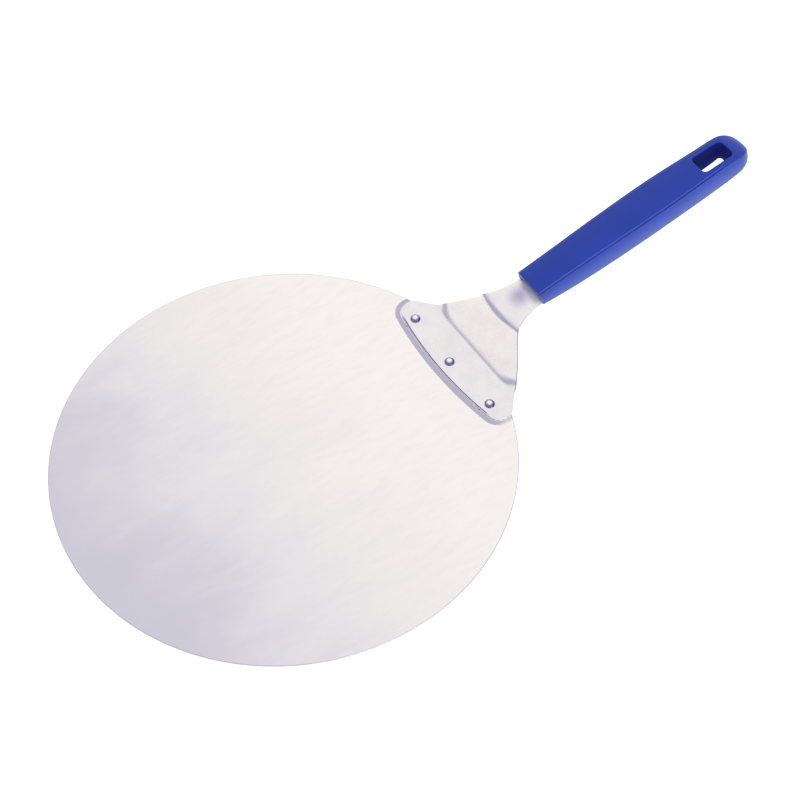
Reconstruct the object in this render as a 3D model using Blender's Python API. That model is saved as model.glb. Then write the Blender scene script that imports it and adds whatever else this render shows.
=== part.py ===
"""Pizza peel: a round steel blade, a cranked steel bracket riveted onto it, and a moulded handle.

The origin is the centre of the blade's underside. +X runs along the handle, +Z is up.
The piece is symmetric about the plane Y = 0. Lengths are metres.
"""

import bmesh
import bpy
from math import atan, cos, pi, radians, sin, sqrt, tan
from mathutils import Vector

MM = 0.001

# Gap between two pieces that touch
TOUCH_GAP = 0.3 * MM

# Blade: a flat disc
BLADE_DIAMETER = 300 * MM
BLADE_THICKNESS = 1.0 * MM
BLADE_SIDES = 144

# Bracket sheet, and its centre line seen from the side: flange, ramp, neck, tang
SHEET_THICKNESS = 1.2 * MM
BEND_PAST_RIM = 0.4 * MM
FLANGE_LENGTH = 29.8 * MM
RAMP_RISE = 25.9 * MM
RAMP_ANGLE = radians(54.3)
NECK_LENGTH = 19.5 * MM
NECK_ANGLE = radians(18.5)
HANDLE_ANGLE = radians(11.2)
NECK_TO_MOUTH = 5.8 * MM
TANG_LENGTH = 70 * MM
LOWER_BEND_RADIUS = 5 * MM
UPPER_BEND_RADIUS = 6 * MM
NECK_BEND_RADIUS = 40 * MM

# Bracket outline, laid flat. Half widths; a taper is the width lost per unit of length
FRONT_EDGE_RADIUS = 280 * MM
FLANGE_CORNER_RADIUS = 9.3 * MM
HALF_WIDTH_AT_BEND = 44.1 * MM
FLANGE_TAPER = 1.15
RAMP_TAPER = 0.85
WAIST_RADIUS = 50 * MM
NECK_HALF_WIDTH = 12.9 * MM
TANG_HALF_WIDTH = 9.5 * MM
SHOULDER_DEPTH = 0.4 * MM

# Mesh rows along the bracket, and columns across it
CORNER_ROWS = 9
FLANGE_ROWS = 4
LOWER_BEND_ROWS = 9
RAMP_ROWS = 8
UPPER_BEND_ROWS = 9
NECK_ROWS = 14
TANG_ROWS = 10
TANG_TIP_ROWS = 8
SHEET_COLUMNS = 20

# The sheet is arched across its width. Each station: how far its edges drop, and how
# flat its middle stays (2 is a round arch, more keeps the fall near the edges)
LOWER_BEND_ARCH = (0.0 * MM, 4.5)
RAMP_ARCH = (2.1 * MM, 3.6)
UPPER_BEND_ARCH = (1.5 * MM, 2.2)
NECK_ARCH = (4.0 * MM, 2.0)
RAMP_ARCH_SHARE = 0.4

# both bends bow towards the disc in their middle; the bow dies out along the neck
BEND_BOW = 1.8 * MM
BOW_FLATNESS = 6

# Rivets: a domed head on the flange, a tail spread in a countersink under the blade
RIVET_HEAD_RADIUS = 3.4 * MM
RIVET_HEAD_HEIGHT = 1.5 * MM
RIVET_SHANK_RADIUS = 1.8 * MM
RIVET_TAIL_RADIUS = 2.5 * MM
RIVET_TAIL_HEIGHT = 0.5 * MM
RIVET_TAIL_RECESS = 0.1 * MM
RIVET_SIDES = 32
RIVET_HEAD_RINGS = 5
MIDDLE_RIVET_SETBACK = 21.2 * MM
OUTER_RIVET_SETBACK = 19.3 * MM
OUTER_RIVET_SPACING = 42.8 * MM

# Handle, along its own axis from the mouth. Each station is a share of the length
HANDLE_LENGTH = 181 * MM
HANDLE_BOW = 1.6 * MM
CREASE_ABOVE_NECK = 5.9 * MM
CROWN = 1.6 * MM
CREASE_STEP = 0.35 * MM
BELLY = 0.8 * MM
# share of the length, half width at the crease, widest half width, its depth, corner radius
HANDLE_STATIONS = (
    (0.00, 11.0 * MM, 14.4 * MM, 8.0 * MM, 4.2 * MM),
    (0.15, 11.4 * MM, 15.2 * MM, 10.6 * MM, 5.8 * MM),
    (0.35, 12.2 * MM, 15.8 * MM, 12.4 * MM, 6.5 * MM),
    (0.60, 12.7 * MM, 16.0 * MM, 12.6 * MM, 6.5 * MM),
    (0.85, 11.5 * MM, 14.8 * MM, 12.8 * MM, 6.2 * MM),
    (1.00, 11.4 * MM, 14.0 * MM, 10.6 * MM, 5.6 * MM),
)
END_ROUND_LENGTH = 14.5 * MM
END_DROP_LENGTH = 24 * MM
END_MIDDLE_DEPTH = 10.5 * MM
SIDE_FULLNESS = 0.4

# The mouth is set back where the sheet goes in, and overhangs it above, by a share of the height
MOUTH_SET_BACK = 0.7 * MM
MOUTH_LEAN = 0.22
MOUTH_BLEND_LENGTH = 14 * MM
POCKET_ROWS = 12

# Mesh rows along the handle, and columns round the right half of its section
HANDLE_ROWS = 32
END_ROWS = 14
CROWN_COLUMNS = 6
SIDE_COLUMNS = 5
CORNER_COLUMNS = 6
BELLY_COLUMNS = 3

# Hanging hole near the handle's end: a rounded slot with an eased rim above and below
HOLE_LENGTH = 25 * MM
HOLE_WIDTH = 14.6 * MM
HOLE_CORNER_RADIUS = 3.2 * MM
HOLE_UNDER_WIDTH = 13.4 * MM
HOLE_UNDER_CORNER_RADIUS = 2.2 * MM
HOLE_END_MARGIN = 14.6 * MM
HOLE_EASING = 1.6 * MM
HOLE_UNDER_EASING = 0.6 * MM
HOLE_EASING_STEPS = 4
HOLE_CORNER_STEPS = 6

MATERIALS = {
    "blade_steel": ((0.80, 0.79, 0.77), 1.0, 0.32),
    "bracket_steel": ((0.82, 0.81, 0.79), 1.0, 0.28),
    "rivet_steel": ((0.70, 0.70, 0.74), 1.0, 0.18),
    "handle_plastic": ((0.045, 0.085, 0.36), 0.0, 0.38),
}


# ---------------------------------------------------------------- helpers

def clear_scene():
    for thing in list(bpy.data.objects):
        bpy.data.objects.remove(thing, do_unlink=True)


def material(name):
    colour, metallic, roughness = MATERIALS[name]
    made = bpy.data.materials.get(name) or bpy.data.materials.new(name)
    made.use_nodes = True
    shader = made.node_tree.nodes["Principled BSDF"]
    shader.inputs["Base Color"].default_value = (*colour, 1.0)
    shader.inputs["Metallic"].default_value = metallic
    shader.inputs["Roughness"].default_value = roughness
    made.diffuse_color = (*colour, 1.0)
    return made


def new_object(name, bm, material_name=None, sharp_angle=radians(30)):
    """An object from a bmesh, with its faces pointing out."""
    bmesh.ops.recalc_face_normals(bm, faces=bm.faces)
    mesh = bpy.data.meshes.new(name)
    bm.to_mesh(mesh)
    bm.free()
    made = bpy.data.objects.new(name, mesh)
    bpy.context.collection.objects.link(made)
    if material_name:
        mesh.materials.append(material(material_name))
    mesh.shade_smooth()
    mesh.set_sharp_from_angle(angle=sharp_angle)
    return made


def loft(loops, sheet=False, section=False):
    """A closed tube through loops that have the same number of points.

    Its ends are flat faces. A sheet's ends may be curved, and so may those of a handle's
    section: they are a strip of quads across, from a start at the corner or at the top's middle.
    """
    bm = bmesh.new()
    rings = [[bm.verts.new(point) for point in loop] for loop in loops]
    count = len(rings[0])
    for lower, upper in zip(rings, rings[1:]):
        for i in range(count):
            j = (i + 1) % count
            bm.faces.new((lower[i], lower[j], upper[j], upper[i]))
    for ring in (rings[0][::-1], rings[-1]):
        if sheet:
            for i in range(count // 2 - 1):
                bm.faces.new((ring[i], ring[i + 1], ring[count - 2 - i], ring[count - 1 - i]))
        elif section:
            ring = ring if ring is rings[-1] else ring[-1:] + ring[:-1]
            bm.faces.new((ring[0], ring[1], ring[-1]))
            for i in range(1, count // 2 - 1):
                bm.faces.new((ring[i], ring[i + 1], ring[-i - 1], ring[-i]))
            middle = count // 2
            bm.faces.new((ring[middle - 1], ring[middle], ring[middle + 1]))
        else:
            bm.faces.new(ring)
    return bm


def turned(profile, centre, sides):
    """A solid turned about the vertical through centre, from (radius, height) points."""
    loops = []
    for radius, height in profile:
        ring = [
            Vector((radius * cos(2 * pi * i / sides), radius * sin(2 * pi * i / sides), height))
            for i in range(sides)
        ]
        loops.append([centre + point for point in ring])
    return loft(loops)


def spread(start, end, count):
    """count even steps from start, without the end."""
    return [start + (end - start) * i / count for i in range(count)]


def cut(target, cutter):
    """Subtract a cutter, which stays in the file as a hidden guide."""
    cutter.hide_render = True
    cutter.display_type = "WIRE"
    boolean = target.modifiers.new("cut_" + cutter.name, "BOOLEAN")
    boolean.operation = "DIFFERENCE"
    boolean.solver = "EXACT"
    boolean.object = cutter


# ---------------------------------------------------------------- bracket's centre line

FLANGE_TOP = BLADE_THICKNESS + TOUCH_GAP + SHEET_THICKNESS
LOWER_BEND = Vector((BLADE_DIAMETER / 2 + BEND_PAST_RIM, 0, FLANGE_TOP))
UPPER_BEND = LOWER_BEND + Vector((RAMP_RISE / tan(RAMP_ANGLE), 0, RAMP_RISE))
NECK_BEND = UPPER_BEND + NECK_LENGTH * Vector((cos(NECK_ANGLE), 0, sin(NECK_ANGLE)))
TANG_DIRECTION = Vector((cos(HANDLE_ANGLE), 0, sin(HANDLE_ANGLE)))
TANG_NORMAL = Vector((-sin(HANDLE_ANGLE), 0, cos(HANDLE_ANGLE)))
TANG_END = NECK_BEND + (NECK_TO_MOUTH + TANG_LENGTH) * TANG_DIRECTION

FLANGE_START = LOWER_BEND - Vector((FLANGE_LENGTH, 0, 0))
CORNERS = (FLANGE_START, LOWER_BEND, UPPER_BEND, NECK_BEND, TANG_END)
BEND_RADII = (LOWER_BEND_RADIUS, UPPER_BEND_RADIUS, NECK_BEND_RADIUS)


def centre_line():
    """Straight runs and bends of the sheet's top, as (start, length, direction, turn)."""
    pieces = []
    here = CORNERS[0]
    for corner, following, radius in zip(CORNERS[1:], CORNERS[2:], BEND_RADII):
        incoming = (corner - here).normalized()
        outgoing = (following - corner).normalized()
        turn = -incoming.xz.angle_signed(outgoing.xz)
        trim = radius * tan(abs(turn) / 2)
        pieces.append((here, (corner - here).length - trim, incoming, 0.0))
        pieces.append((corner - trim * incoming, radius * abs(turn), incoming, turn))
        here = corner + trim * outgoing
    pieces.append((here, (TANG_END - here).length, TANG_DIRECTION, 0.0))
    return pieces


CENTRE_LINE = centre_line()
RUN_LENGTHS = [length for start, length, direction, turn in CENTRE_LINE]
LOWER_BEND_AT = RUN_LENGTHS[0] + RUN_LENGTHS[1] / 2
UPPER_BEND_AT = sum(RUN_LENGTHS[:3]) + RUN_LENGTHS[3] / 2
TANG_END_AT = sum(RUN_LENGTHS)
MOUTH_AT = TANG_END_AT - TANG_LENGTH
SHOULDER_AT = MOUTH_AT + MOUTH_SET_BACK - TOUCH_GAP


def on_centre_line(station):
    """Point and direction of the sheet's top at a distance along its centre line."""
    for start, length, direction, turn in CENTRE_LINE:
        if station <= length or start is CENTRE_LINE[-1][0]:
            break
        station -= length
    if turn == 0.0 or station < 0:
        return start + station * direction, direction
    radius = length / abs(turn)
    angle = turn * station / length
    up = Vector((-direction.z, 0, direction.x))
    swing = sin(abs(angle)) * direction + (1 if turn > 0 else -1) * (1 - cos(angle)) * up
    return start + radius * swing, cos(angle) * direction + sin(angle) * up


# ---------------------------------------------------------------- bracket's outline

def flange_corner_centre():
    """Centre of the round that meets the front edge and the slanting side edge."""
    slant = sqrt(1 + FLANGE_TAPER ** 2)
    side = HALF_WIDTH_AT_BEND + FLANGE_TAPER * LOWER_BEND_AT - FLANGE_CORNER_RADIUS * slant
    reach = FRONT_EDGE_RADIUS - FLANGE_CORNER_RADIUS
    # where the side line, moved in by the round's radius, is at that reach from the front arc's centre
    square = 1 + FLANGE_TAPER ** 2
    linear = -2 * (FRONT_EDGE_RADIUS + FLANGE_TAPER * side)
    constant = FRONT_EDGE_RADIUS ** 2 + side ** 2 - reach ** 2
    station = (-linear - sqrt(linear * linear - 4 * square * constant)) / (2 * square)
    return station, side - FLANGE_TAPER * station


CORNER_STATION, CORNER_HALF_WIDTH = flange_corner_centre()
SIDE_SLOPE = atan(FLANGE_TAPER)
CORNER_END_AT = CORNER_STATION + FLANGE_CORNER_RADIUS * sin(SIDE_SLOPE)
FRONT_ANGLE = atan(CORNER_HALF_WIDTH / (FRONT_EDGE_RADIUS - CORNER_STATION))
CORNER_START_AT = CORNER_STATION - FLANGE_CORNER_RADIUS * cos(FRONT_ANGLE)

WAIST_SWEEP = atan(RAMP_TAPER)
WAIST_WIDTH = NECK_HALF_WIDTH + WAIST_RADIUS * (1 - cos(WAIST_SWEEP))
WAIST_START_AT = LOWER_BEND_AT + (HALF_WIDTH_AT_BEND - WAIST_WIDTH) / RAMP_TAPER
WAIST_END_AT = WAIST_START_AT + WAIST_RADIUS * sin(WAIST_SWEEP)


def front_edge(across):
    """Station of the flange's curved front edge at a distance across."""
    return FRONT_EDGE_RADIUS - sqrt(FRONT_EDGE_RADIUS ** 2 - across ** 2)


def half_width(station):
    """Half width of the flat sheet at a distance along it."""
    if station < CORNER_END_AT:
        across = min(abs(station - CORNER_STATION), FLANGE_CORNER_RADIUS)
        return CORNER_HALF_WIDTH + sqrt(FLANGE_CORNER_RADIUS ** 2 - across ** 2)
    if station < LOWER_BEND_AT:
        return HALF_WIDTH_AT_BEND + FLANGE_TAPER * (LOWER_BEND_AT - station)
    if station < WAIST_START_AT:
        return HALF_WIDTH_AT_BEND - RAMP_TAPER * (station - LOWER_BEND_AT)
    left = max(0.0, WAIST_END_AT - station)
    return NECK_HALF_WIDTH + WAIST_RADIUS - sqrt(WAIST_RADIUS ** 2 - left ** 2)


RAMP_ARCH_AT = LOWER_BEND_AT + RAMP_ARCH_SHARE * (UPPER_BEND_AT - LOWER_BEND_AT)
ARCH_STATIONS = (
    (LOWER_BEND_AT, *LOWER_BEND_ARCH),
    (RAMP_ARCH_AT, *RAMP_ARCH),
    (UPPER_BEND_AT, *UPPER_BEND_ARCH),
    (MOUTH_AT, *NECK_ARCH),
)


def between(stations, place):
    """Values at a place, on smooth curves through a list of (place, values...)."""
    last = len(stations) - 1
    place = max(stations[0][0], min(stations[last][0], place))
    index = 0
    while index < last - 1 and place > stations[index + 1][0]:
        index += 1
    before = stations[max(index - 1, 0)]
    lower = stations[index]
    upper = stations[index + 1]
    after = stations[min(index + 2, last)]
    span = upper[0] - lower[0]
    t = (place - lower[0]) / span
    values = []
    for previous, low, high, following in zip(before[1:], lower[1:], upper[1:], after[1:]):
        slope_low = span * (high - previous) / (upper[0] - before[0])
        slope_high = span * (following - low) / (after[0] - lower[0])
        values.append(
            (2 * t - 3) * t * t * (low - high) + low
            + t * (t - 1) * ((t - 1) * slope_low + t * slope_high)
        )
    return values


def bend_bow(station, share):
    """How far the bends lie nearer the disc than their ends do, at a share of the half width."""
    fade = max(0.0, min(1.0, (MOUTH_AT - station) / (MOUTH_AT - UPPER_BEND_AT)))
    return BEND_BOW * (1 - share ** BOW_FLATNESS) * fade * fade * (3 - 2 * fade)


def sheet_point(station, across, depth=0.0):
    """Point at a depth below the sheet's top, at a station and a distance across."""
    share = abs(across) / half_width(station)
    bow = bend_bow(station, share)
    point, direction = on_centre_line(station + bow)
    up = Vector((-direction.z, 0, direction.x))
    edge_drop, flatness = between(ARCH_STATIONS, station)
    drop = edge_drop * share ** flatness
    slope = flatness * drop / across if across else 0.0
    normal = (up + slope * Vector((0, 1, 0))).normalized()
    return point + Vector((-bow, across, 0)) - drop * up - depth * normal


def sheet_solid(rows, columns, top_depth, bottom_depth):
    """A closed sheet through rows of (station at the edge, station in the middle, half width)."""
    loops = []
    for edge, middle, width in rows:
        places = []
        for i in range(columns + 1):
            share = 2 * i / columns - 1
            curve = front_edge(share * width) / front_edge(width)
            places.append((middle + (edge - middle) * curve, share * width))
        loop = [sheet_point(station, across, top_depth) for station, across in places]
        loop += [sheet_point(station, across, bottom_depth) for station, across in reversed(places)]
        loops.append(loop)
    return loft(loops, sheet=True)


def bracket_rows():
    """Rows from the flange's front to the tang's end, as (edge station, middle station, half width)."""
    bend_start = RUN_LENGTHS[0] - BEND_BOW
    bend_end = sum(RUN_LENGTHS[:2])
    ramp_end = sum(RUN_LENGTHS[:3]) - BEND_BOW
    neck_start = sum(RUN_LENGTHS[:4])
    neck_end = SHOULDER_AT - SHOULDER_DEPTH
    angles = spread(FRONT_ANGLE, pi - SIDE_SLOPE, CORNER_ROWS)
    stations = [CORNER_STATION - FLANGE_CORNER_RADIUS * cos(angle) for angle in angles]
    stations += spread(CORNER_END_AT, bend_start, FLANGE_ROWS)
    flange_rows = len(stations)
    # the flange's rows straighten out from its curved front edge to the bend
    rows = []
    for i, station in enumerate(stations):
        rows.append((station, bend_start * i / flange_rows, half_width(station)))
    stations = spread(bend_start, bend_end, LOWER_BEND_ROWS)
    stations += spread(bend_end, ramp_end, RAMP_ROWS)
    stations += spread(ramp_end, neck_start, UPPER_BEND_ROWS)
    stations += spread(neck_start, neck_end, NECK_ROWS) + [neck_end]
    rows += [(station, station, half_width(station)) for station in stations]
    stations = spread(SHOULDER_AT, TANG_END_AT - TANG_HALF_WIDTH, TANG_ROWS)
    rows += [(station, station, TANG_HALF_WIDTH) for station in stations]
    for angle in spread(0.0, pi / 2, TANG_TIP_ROWS):
        station = TANG_END_AT - TANG_HALF_WIDTH * (1 - sin(angle))
        rows.append((station, station, TANG_HALF_WIDTH * cos(angle)))
    return rows


def make_bracket():
    sheet = sheet_solid(bracket_rows(), SHEET_COLUMNS, 0.0, SHEET_THICKNESS)
    bracket = new_object("bracket", sheet, "bracket_steel")
    for index, centre in enumerate(rivet_centres()):
        hole = RIVET_SHANK_RADIUS + TOUCH_GAP
        profile = ((hole, 0.0), (hole, 2 * FLANGE_TOP))
        cutter = new_object(f"flange_hole_{index}", turned(profile, centre, RIVET_SIDES))
        cut(bracket, cutter)
    return bracket


# ---------------------------------------------------------------- blade and rivets

def rivet_centres():
    middle = LOWER_BEND.x - MIDDLE_RIVET_SETBACK
    outer = LOWER_BEND.x - OUTER_RIVET_SETBACK
    return (
        Vector((outer, OUTER_RIVET_SPACING, 0)),
        Vector((middle, 0, 0)),
        Vector((outer, -OUTER_RIVET_SPACING, 0)),
    )


def make_blade():
    radius = BLADE_DIAMETER / 2
    profile = ((radius, 0.0), (radius, BLADE_THICKNESS))
    blade = new_object("blade", turned(profile, Vector(), BLADE_SIDES), "blade_steel")
    hole = RIVET_SHANK_RADIUS + TOUCH_GAP
    countersink = RIVET_TAIL_RADIUS + TOUCH_GAP
    profile = (
        (countersink, -BLADE_THICKNESS),
        (countersink, RIVET_TAIL_RECESS),
        (hole, RIVET_TAIL_RECESS + RIVET_TAIL_HEIGHT),
        (hole, 2 * BLADE_THICKNESS),
    )
    for index, centre in enumerate(rivet_centres()):
        cutter = new_object(f"blade_hole_{index}", turned(profile, centre, RIVET_SIDES))
        cut(blade, cutter)
    return blade


def make_rivets():
    seat = FLANGE_TOP + TOUCH_GAP
    sphere = (RIVET_HEAD_RADIUS ** 2 + RIVET_HEAD_HEIGHT ** 2) / (2 * RIVET_HEAD_HEIGHT)
    profile = [
        (RIVET_TAIL_RADIUS, RIVET_TAIL_RECESS),
        (RIVET_SHANK_RADIUS, RIVET_TAIL_RECESS + RIVET_TAIL_HEIGHT),
        (RIVET_SHANK_RADIUS, seat),
    ]
    for angle in spread(0.0, pi / 2, RIVET_HEAD_RINGS):
        radius = RIVET_HEAD_RADIUS * cos(angle)
        rise = sqrt(sphere ** 2 - radius ** 2) - (sphere - RIVET_HEAD_HEIGHT)
        profile.append((radius, seat + rise))
    names = ("rivet_left", "rivet_middle", "rivet_right")
    for name, centre in zip(names, rivet_centres()):
        new_object(name, turned(profile, centre, RIVET_SIDES), "rivet_steel")


# ---------------------------------------------------------------- handle

MOUTH_POINT = on_centre_line(MOUTH_AT)[0]
HANDLE_ORIGIN = MOUTH_POINT + CREASE_ABOVE_NECK * TANG_NORMAL


def handle_point(along, across, up):
    """Point in the handle's own frame: from the mouth, across, and above the creases."""
    bow = HANDLE_BOW * sin(pi * along / HANDLE_LENGTH)
    middle = HANDLE_ORIGIN + along * TANG_DIRECTION + (up + bow) * TANG_NORMAL
    return middle + Vector((0, across, 0))


def handle_sizes(along):
    """Crease half width, widest half width, its depth and the corner radius at a station."""
    return between(HANDLE_STATIONS, along / HANDLE_LENGTH)


def half_section(along):
    """Right half of the handle's section, from the top's middle down to the bottom's middle."""
    crease, widest, depth, corner = handle_sizes(along)
    points = []
    for share in spread(0.0, 1.0, CROWN_COLUMNS):
        points.append((crease * share, CROWN * (1 - share ** 2)))
    side_top = crease + CREASE_STEP / 2
    points.append((crease, 0.0))
    points.append((side_top, -CREASE_STEP))
    for share in spread(0.0, 1.0, SIDE_COLUMNS)[1:]:
        fullness = (1 - SIDE_FULLNESS) * share + SIDE_FULLNESS * sin(pi / 2 * share)
        across = side_top + (widest - side_top) * fullness
        points.append((across, -CREASE_STEP - (depth - CREASE_STEP) * share))
    for angle in spread(0.0, pi / 2, CORNER_COLUMNS):
        points.append((widest - corner * (1 - cos(angle)), -depth - corner * sin(angle)))
    for share in spread(1.0, 0.0, BELLY_COLUMNS) + [0.0]:
        points.append(((widest - corner) * share, -depth - corner - BELLY * (1 - share ** 2)))
    return points


def rounded(left, length):
    """Share of the full size at a distance from a round end of that length."""
    return sqrt(1 - max(0.0, 1 - left / length) ** 2)


def handle_loop(along):
    """Closed section. The round end narrows it, and flattens it towards its middle depth."""
    narrow = rounded(HANDLE_LENGTH - along, END_ROUND_LENGTH)
    flat = rounded(HANDLE_LENGTH - along, END_DROP_LENGTH)
    mouth = max(0.0, 1 - along / MOUTH_BLEND_LENGTH)
    right = half_section(along)
    left = [(-across, up) for across, up in reversed(right[1:-1])]
    loop = []
    for across, up in right + left:
        set_back = MOUTH_SET_BACK - MOUTH_LEAN * max(0.0, up + CREASE_ABOVE_NECK)
        height = -END_MIDDLE_DEPTH + (up + END_MIDDLE_DEPTH) * flat
        loop.append(handle_point(along + set_back * mouth, across * narrow, height))
    return loop


def slot_loop(along, length, width, corner, up, fall):
    """Rounded rectangle at a height over the creases; fall lowers it away from the middle."""
    loop = []
    crease = handle_sizes(along)[0]
    for quarter in range(4):
        middle_along = (length / 2 - corner) * (1 if quarter in (0, 3) else -1)
        middle_across = (width / 2 - corner) * (1 if quarter in (0, 1) else -1)
        for i in range(HOLE_CORNER_STEPS + 1):
            angle = pi / 2 * (quarter + i / HOLE_CORNER_STEPS)
            forward = along + middle_along + corner * cos(angle)
            across = middle_across + corner * sin(angle)
            loop.append(handle_point(forward, across, up - fall * (across / crease) ** 2))
    return loop


def make_hole_cutter():
    """A slot that opens out in a quarter round at the handle's top and bottom."""
    along = HANDLE_LENGTH - HOLE_END_MARGIN - HOLE_LENGTH / 2
    crease, widest, depth, corner = handle_sizes(along)
    bottom = -depth - corner - BELLY
    first_turn = pi / 2 / HOLE_EASING_STEPS
    turns = spread(first_turn, pi / 2, HOLE_EASING_STEPS) + [pi / 2]
    # depth below the surface and widening of the slot, for an easing of 1
    rim = [(1 - cos(turn), 1 - sin(turn)) for turn in turns]
    rim.insert(0, (-1, rim[0][1]))
    loops = []
    for sunk, widening in rim:
        out = HOLE_UNDER_EASING * widening
        loops.append(slot_loop(
            along, HOLE_LENGTH + 2 * out, HOLE_UNDER_WIDTH + 2 * out,
            HOLE_UNDER_CORNER_RADIUS + out, bottom + HOLE_UNDER_EASING * sunk, -BELLY,
        ))
    for sunk, widening in reversed(rim):
        out = HOLE_EASING * widening
        loops.append(slot_loop(
            along, HOLE_LENGTH + 2 * out, HOLE_WIDTH + 2 * out,
            HOLE_CORNER_RADIUS + out, CROWN - HOLE_EASING * sunk, CROWN,
        ))
    return new_object("hanging_hole", loft(loops))


def make_handle():
    stations = spread(0.0, HANDLE_LENGTH - END_DROP_LENGTH, HANDLE_ROWS)
    for angle in spread(0.0, pi / 2, END_ROWS):
        stations.append(HANDLE_LENGTH - END_DROP_LENGTH * (1 - sin(angle)))
    body = loft([handle_loop(along) for along in stations], section=True)
    handle = new_object("handle", body, "handle_plastic")
    pocket_end = TANG_END_AT + TOUCH_GAP
    pocket_half_width = TANG_HALF_WIDTH + TOUCH_GAP
    pocket_stations = spread(MOUTH_AT - 4 * SHEET_THICKNESS, pocket_end, POCKET_ROWS) + [pocket_end]
    pocket_rows = [(station, station, pocket_half_width) for station in pocket_stations]
    pocket = sheet_solid(pocket_rows, SHEET_COLUMNS, -TOUCH_GAP, SHEET_THICKNESS + TOUCH_GAP)
    cut(handle, new_object("tang_pocket", pocket))
    cut(handle, make_hole_cutter())
    return handle


clear_scene()
make_blade()
make_bracket()
make_rivets()
make_handle()
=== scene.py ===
"""Pizza peel: brushed blade, satin bracket, domed rivets and a moulded handle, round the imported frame."""

from math import atan, cos, pi, radians, sin, sqrt, tan

import bmesh
import bpy
from bpy.props import FloatProperty, FloatVectorProperty, IntProperty, PointerProperty
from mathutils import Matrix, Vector


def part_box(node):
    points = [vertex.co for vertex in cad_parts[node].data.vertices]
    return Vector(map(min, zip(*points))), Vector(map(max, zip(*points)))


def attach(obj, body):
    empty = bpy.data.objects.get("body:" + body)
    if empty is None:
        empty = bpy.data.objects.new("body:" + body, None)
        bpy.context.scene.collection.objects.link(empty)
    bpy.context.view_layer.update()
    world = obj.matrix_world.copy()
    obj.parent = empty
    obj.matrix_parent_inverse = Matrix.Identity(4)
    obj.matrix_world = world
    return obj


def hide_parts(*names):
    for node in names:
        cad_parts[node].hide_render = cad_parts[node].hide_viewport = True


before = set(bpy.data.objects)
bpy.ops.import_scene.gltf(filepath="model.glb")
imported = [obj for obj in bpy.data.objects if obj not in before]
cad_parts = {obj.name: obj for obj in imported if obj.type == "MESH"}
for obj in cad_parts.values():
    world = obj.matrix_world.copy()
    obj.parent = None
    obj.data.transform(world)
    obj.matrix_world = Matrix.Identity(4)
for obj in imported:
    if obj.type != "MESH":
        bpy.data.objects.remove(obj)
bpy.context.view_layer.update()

bl_info = {
    "name": "Pizza Peel",
    "version": (1, 0, 0),
    "blender": (4, 5, 0),
    "location": "3D View > Sidebar > Peel",
    "description": "Builds a steel pizza peel with a riveted bracket and a moulded handle",
    "category": "Add Mesh",
}

MM = 0.001
BLADE_LOW, BLADE_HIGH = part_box("blade")
RIVET_NODES = ("rivet_left", "rivet_middle", "rivet_right")

# ---------------------------------------------------------------- sizes of the pressed parts

TOUCH_GAP = 0.3 * MM
SHEET_THICKNESS = 1.2 * MM
BEND_PAST_RIM = 0.4 * MM
FLANGE_LENGTH = 29.8 * MM
RAMP_RISE = 25.9 * MM
RAMP_ANGLE = radians(54.3)
NECK_LENGTH = 19.5 * MM
NECK_ANGLE = radians(18.5)
HANDLE_ANGLE = radians(11.2)
NECK_TO_MOUTH = 5.8 * MM
TANG_LENGTH = 70 * MM
BEND_RADII = (5 * MM, 6 * MM, 40 * MM)

FRONT_EDGE_RADIUS = 280 * MM
FLANGE_CORNER_RADIUS = 9.3 * MM
HALF_WIDTH_AT_BEND = 44.1 * MM
FLANGE_TAPER = 1.15
RAMP_TAPER = 0.85
WAIST_RADIUS = 50 * MM
NECK_HALF_WIDTH = 12.9 * MM
TANG_HALF_WIDTH = 9.5 * MM
SHOULDER_DEPTH = 0.4 * MM

# how far the sheet's edges drop, and how flat its middle stays
LOWER_BEND_ARCH = (0.0 * MM, 4.5)
RAMP_ARCH = (2.1 * MM, 3.6)
UPPER_BEND_ARCH = (1.5 * MM, 2.2)
NECK_ARCH = (4.0 * MM, 2.0)
RAMP_ARCH_SHARE = 0.4
BEND_BOW = 1.8 * MM
BOW_FLATNESS = 6

# ---------------------------------------------------------------- sizes of the rivets

RIVET_SHANK_RADIUS = 1.8 * MM
RIVET_TAIL_RADIUS = 2.5 * MM
RIVET_TAIL_HEIGHT = 0.5 * MM
RIVET_TAIL_RECESS = 0.1 * MM
MIDDLE_RIVET_SETBACK = 21.2 * MM
OUTER_RIVET_SETBACK = 19.3 * MM
OUTER_RIVET_SPACING = 42.8 * MM

# ---------------------------------------------------------------- sizes of the handle

HANDLE_LENGTH = 181 * MM
HANDLE_TIP = 180.85 * MM
HANDLE_BOW = 1.6 * MM
CREASE_ABOVE_NECK = 5.9 * MM
CROWN = 1.6 * MM
BELLY = 0.8 * MM
# share of the length, half width at the crease, widest half width, its depth, corner radius
HANDLE_STATIONS = (
    (0.00, 11.0 * MM, 14.4 * MM, 8.0 * MM, 4.2 * MM),
    (0.15, 11.4 * MM, 15.2 * MM, 10.6 * MM, 5.8 * MM),
    (0.35, 12.2 * MM, 15.8 * MM, 12.4 * MM, 6.5 * MM),
    (0.60, 12.7 * MM, 16.0 * MM, 12.6 * MM, 6.5 * MM),
    (0.85, 11.5 * MM, 14.8 * MM, 12.8 * MM, 6.2 * MM),
    (1.00, 11.4 * MM, 14.0 * MM, 10.6 * MM, 5.6 * MM),
)
END_ROUND_LENGTH = 14.5 * MM
END_DROP_LENGTH = 24 * MM
END_MIDDLE_DEPTH = 10.5 * MM
HOLE_LENGTH = 25 * MM
HOLE_WIDTH = 14.6 * MM
HOLE_CORNER_RADIUS = 3.2 * MM
HOLE_UNDER_WIDTH = 13.4 * MM
HOLE_UNDER_CORNER_RADIUS = 2.2 * MM
HOLE_END_MARGIN = 14.6 * MM

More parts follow.
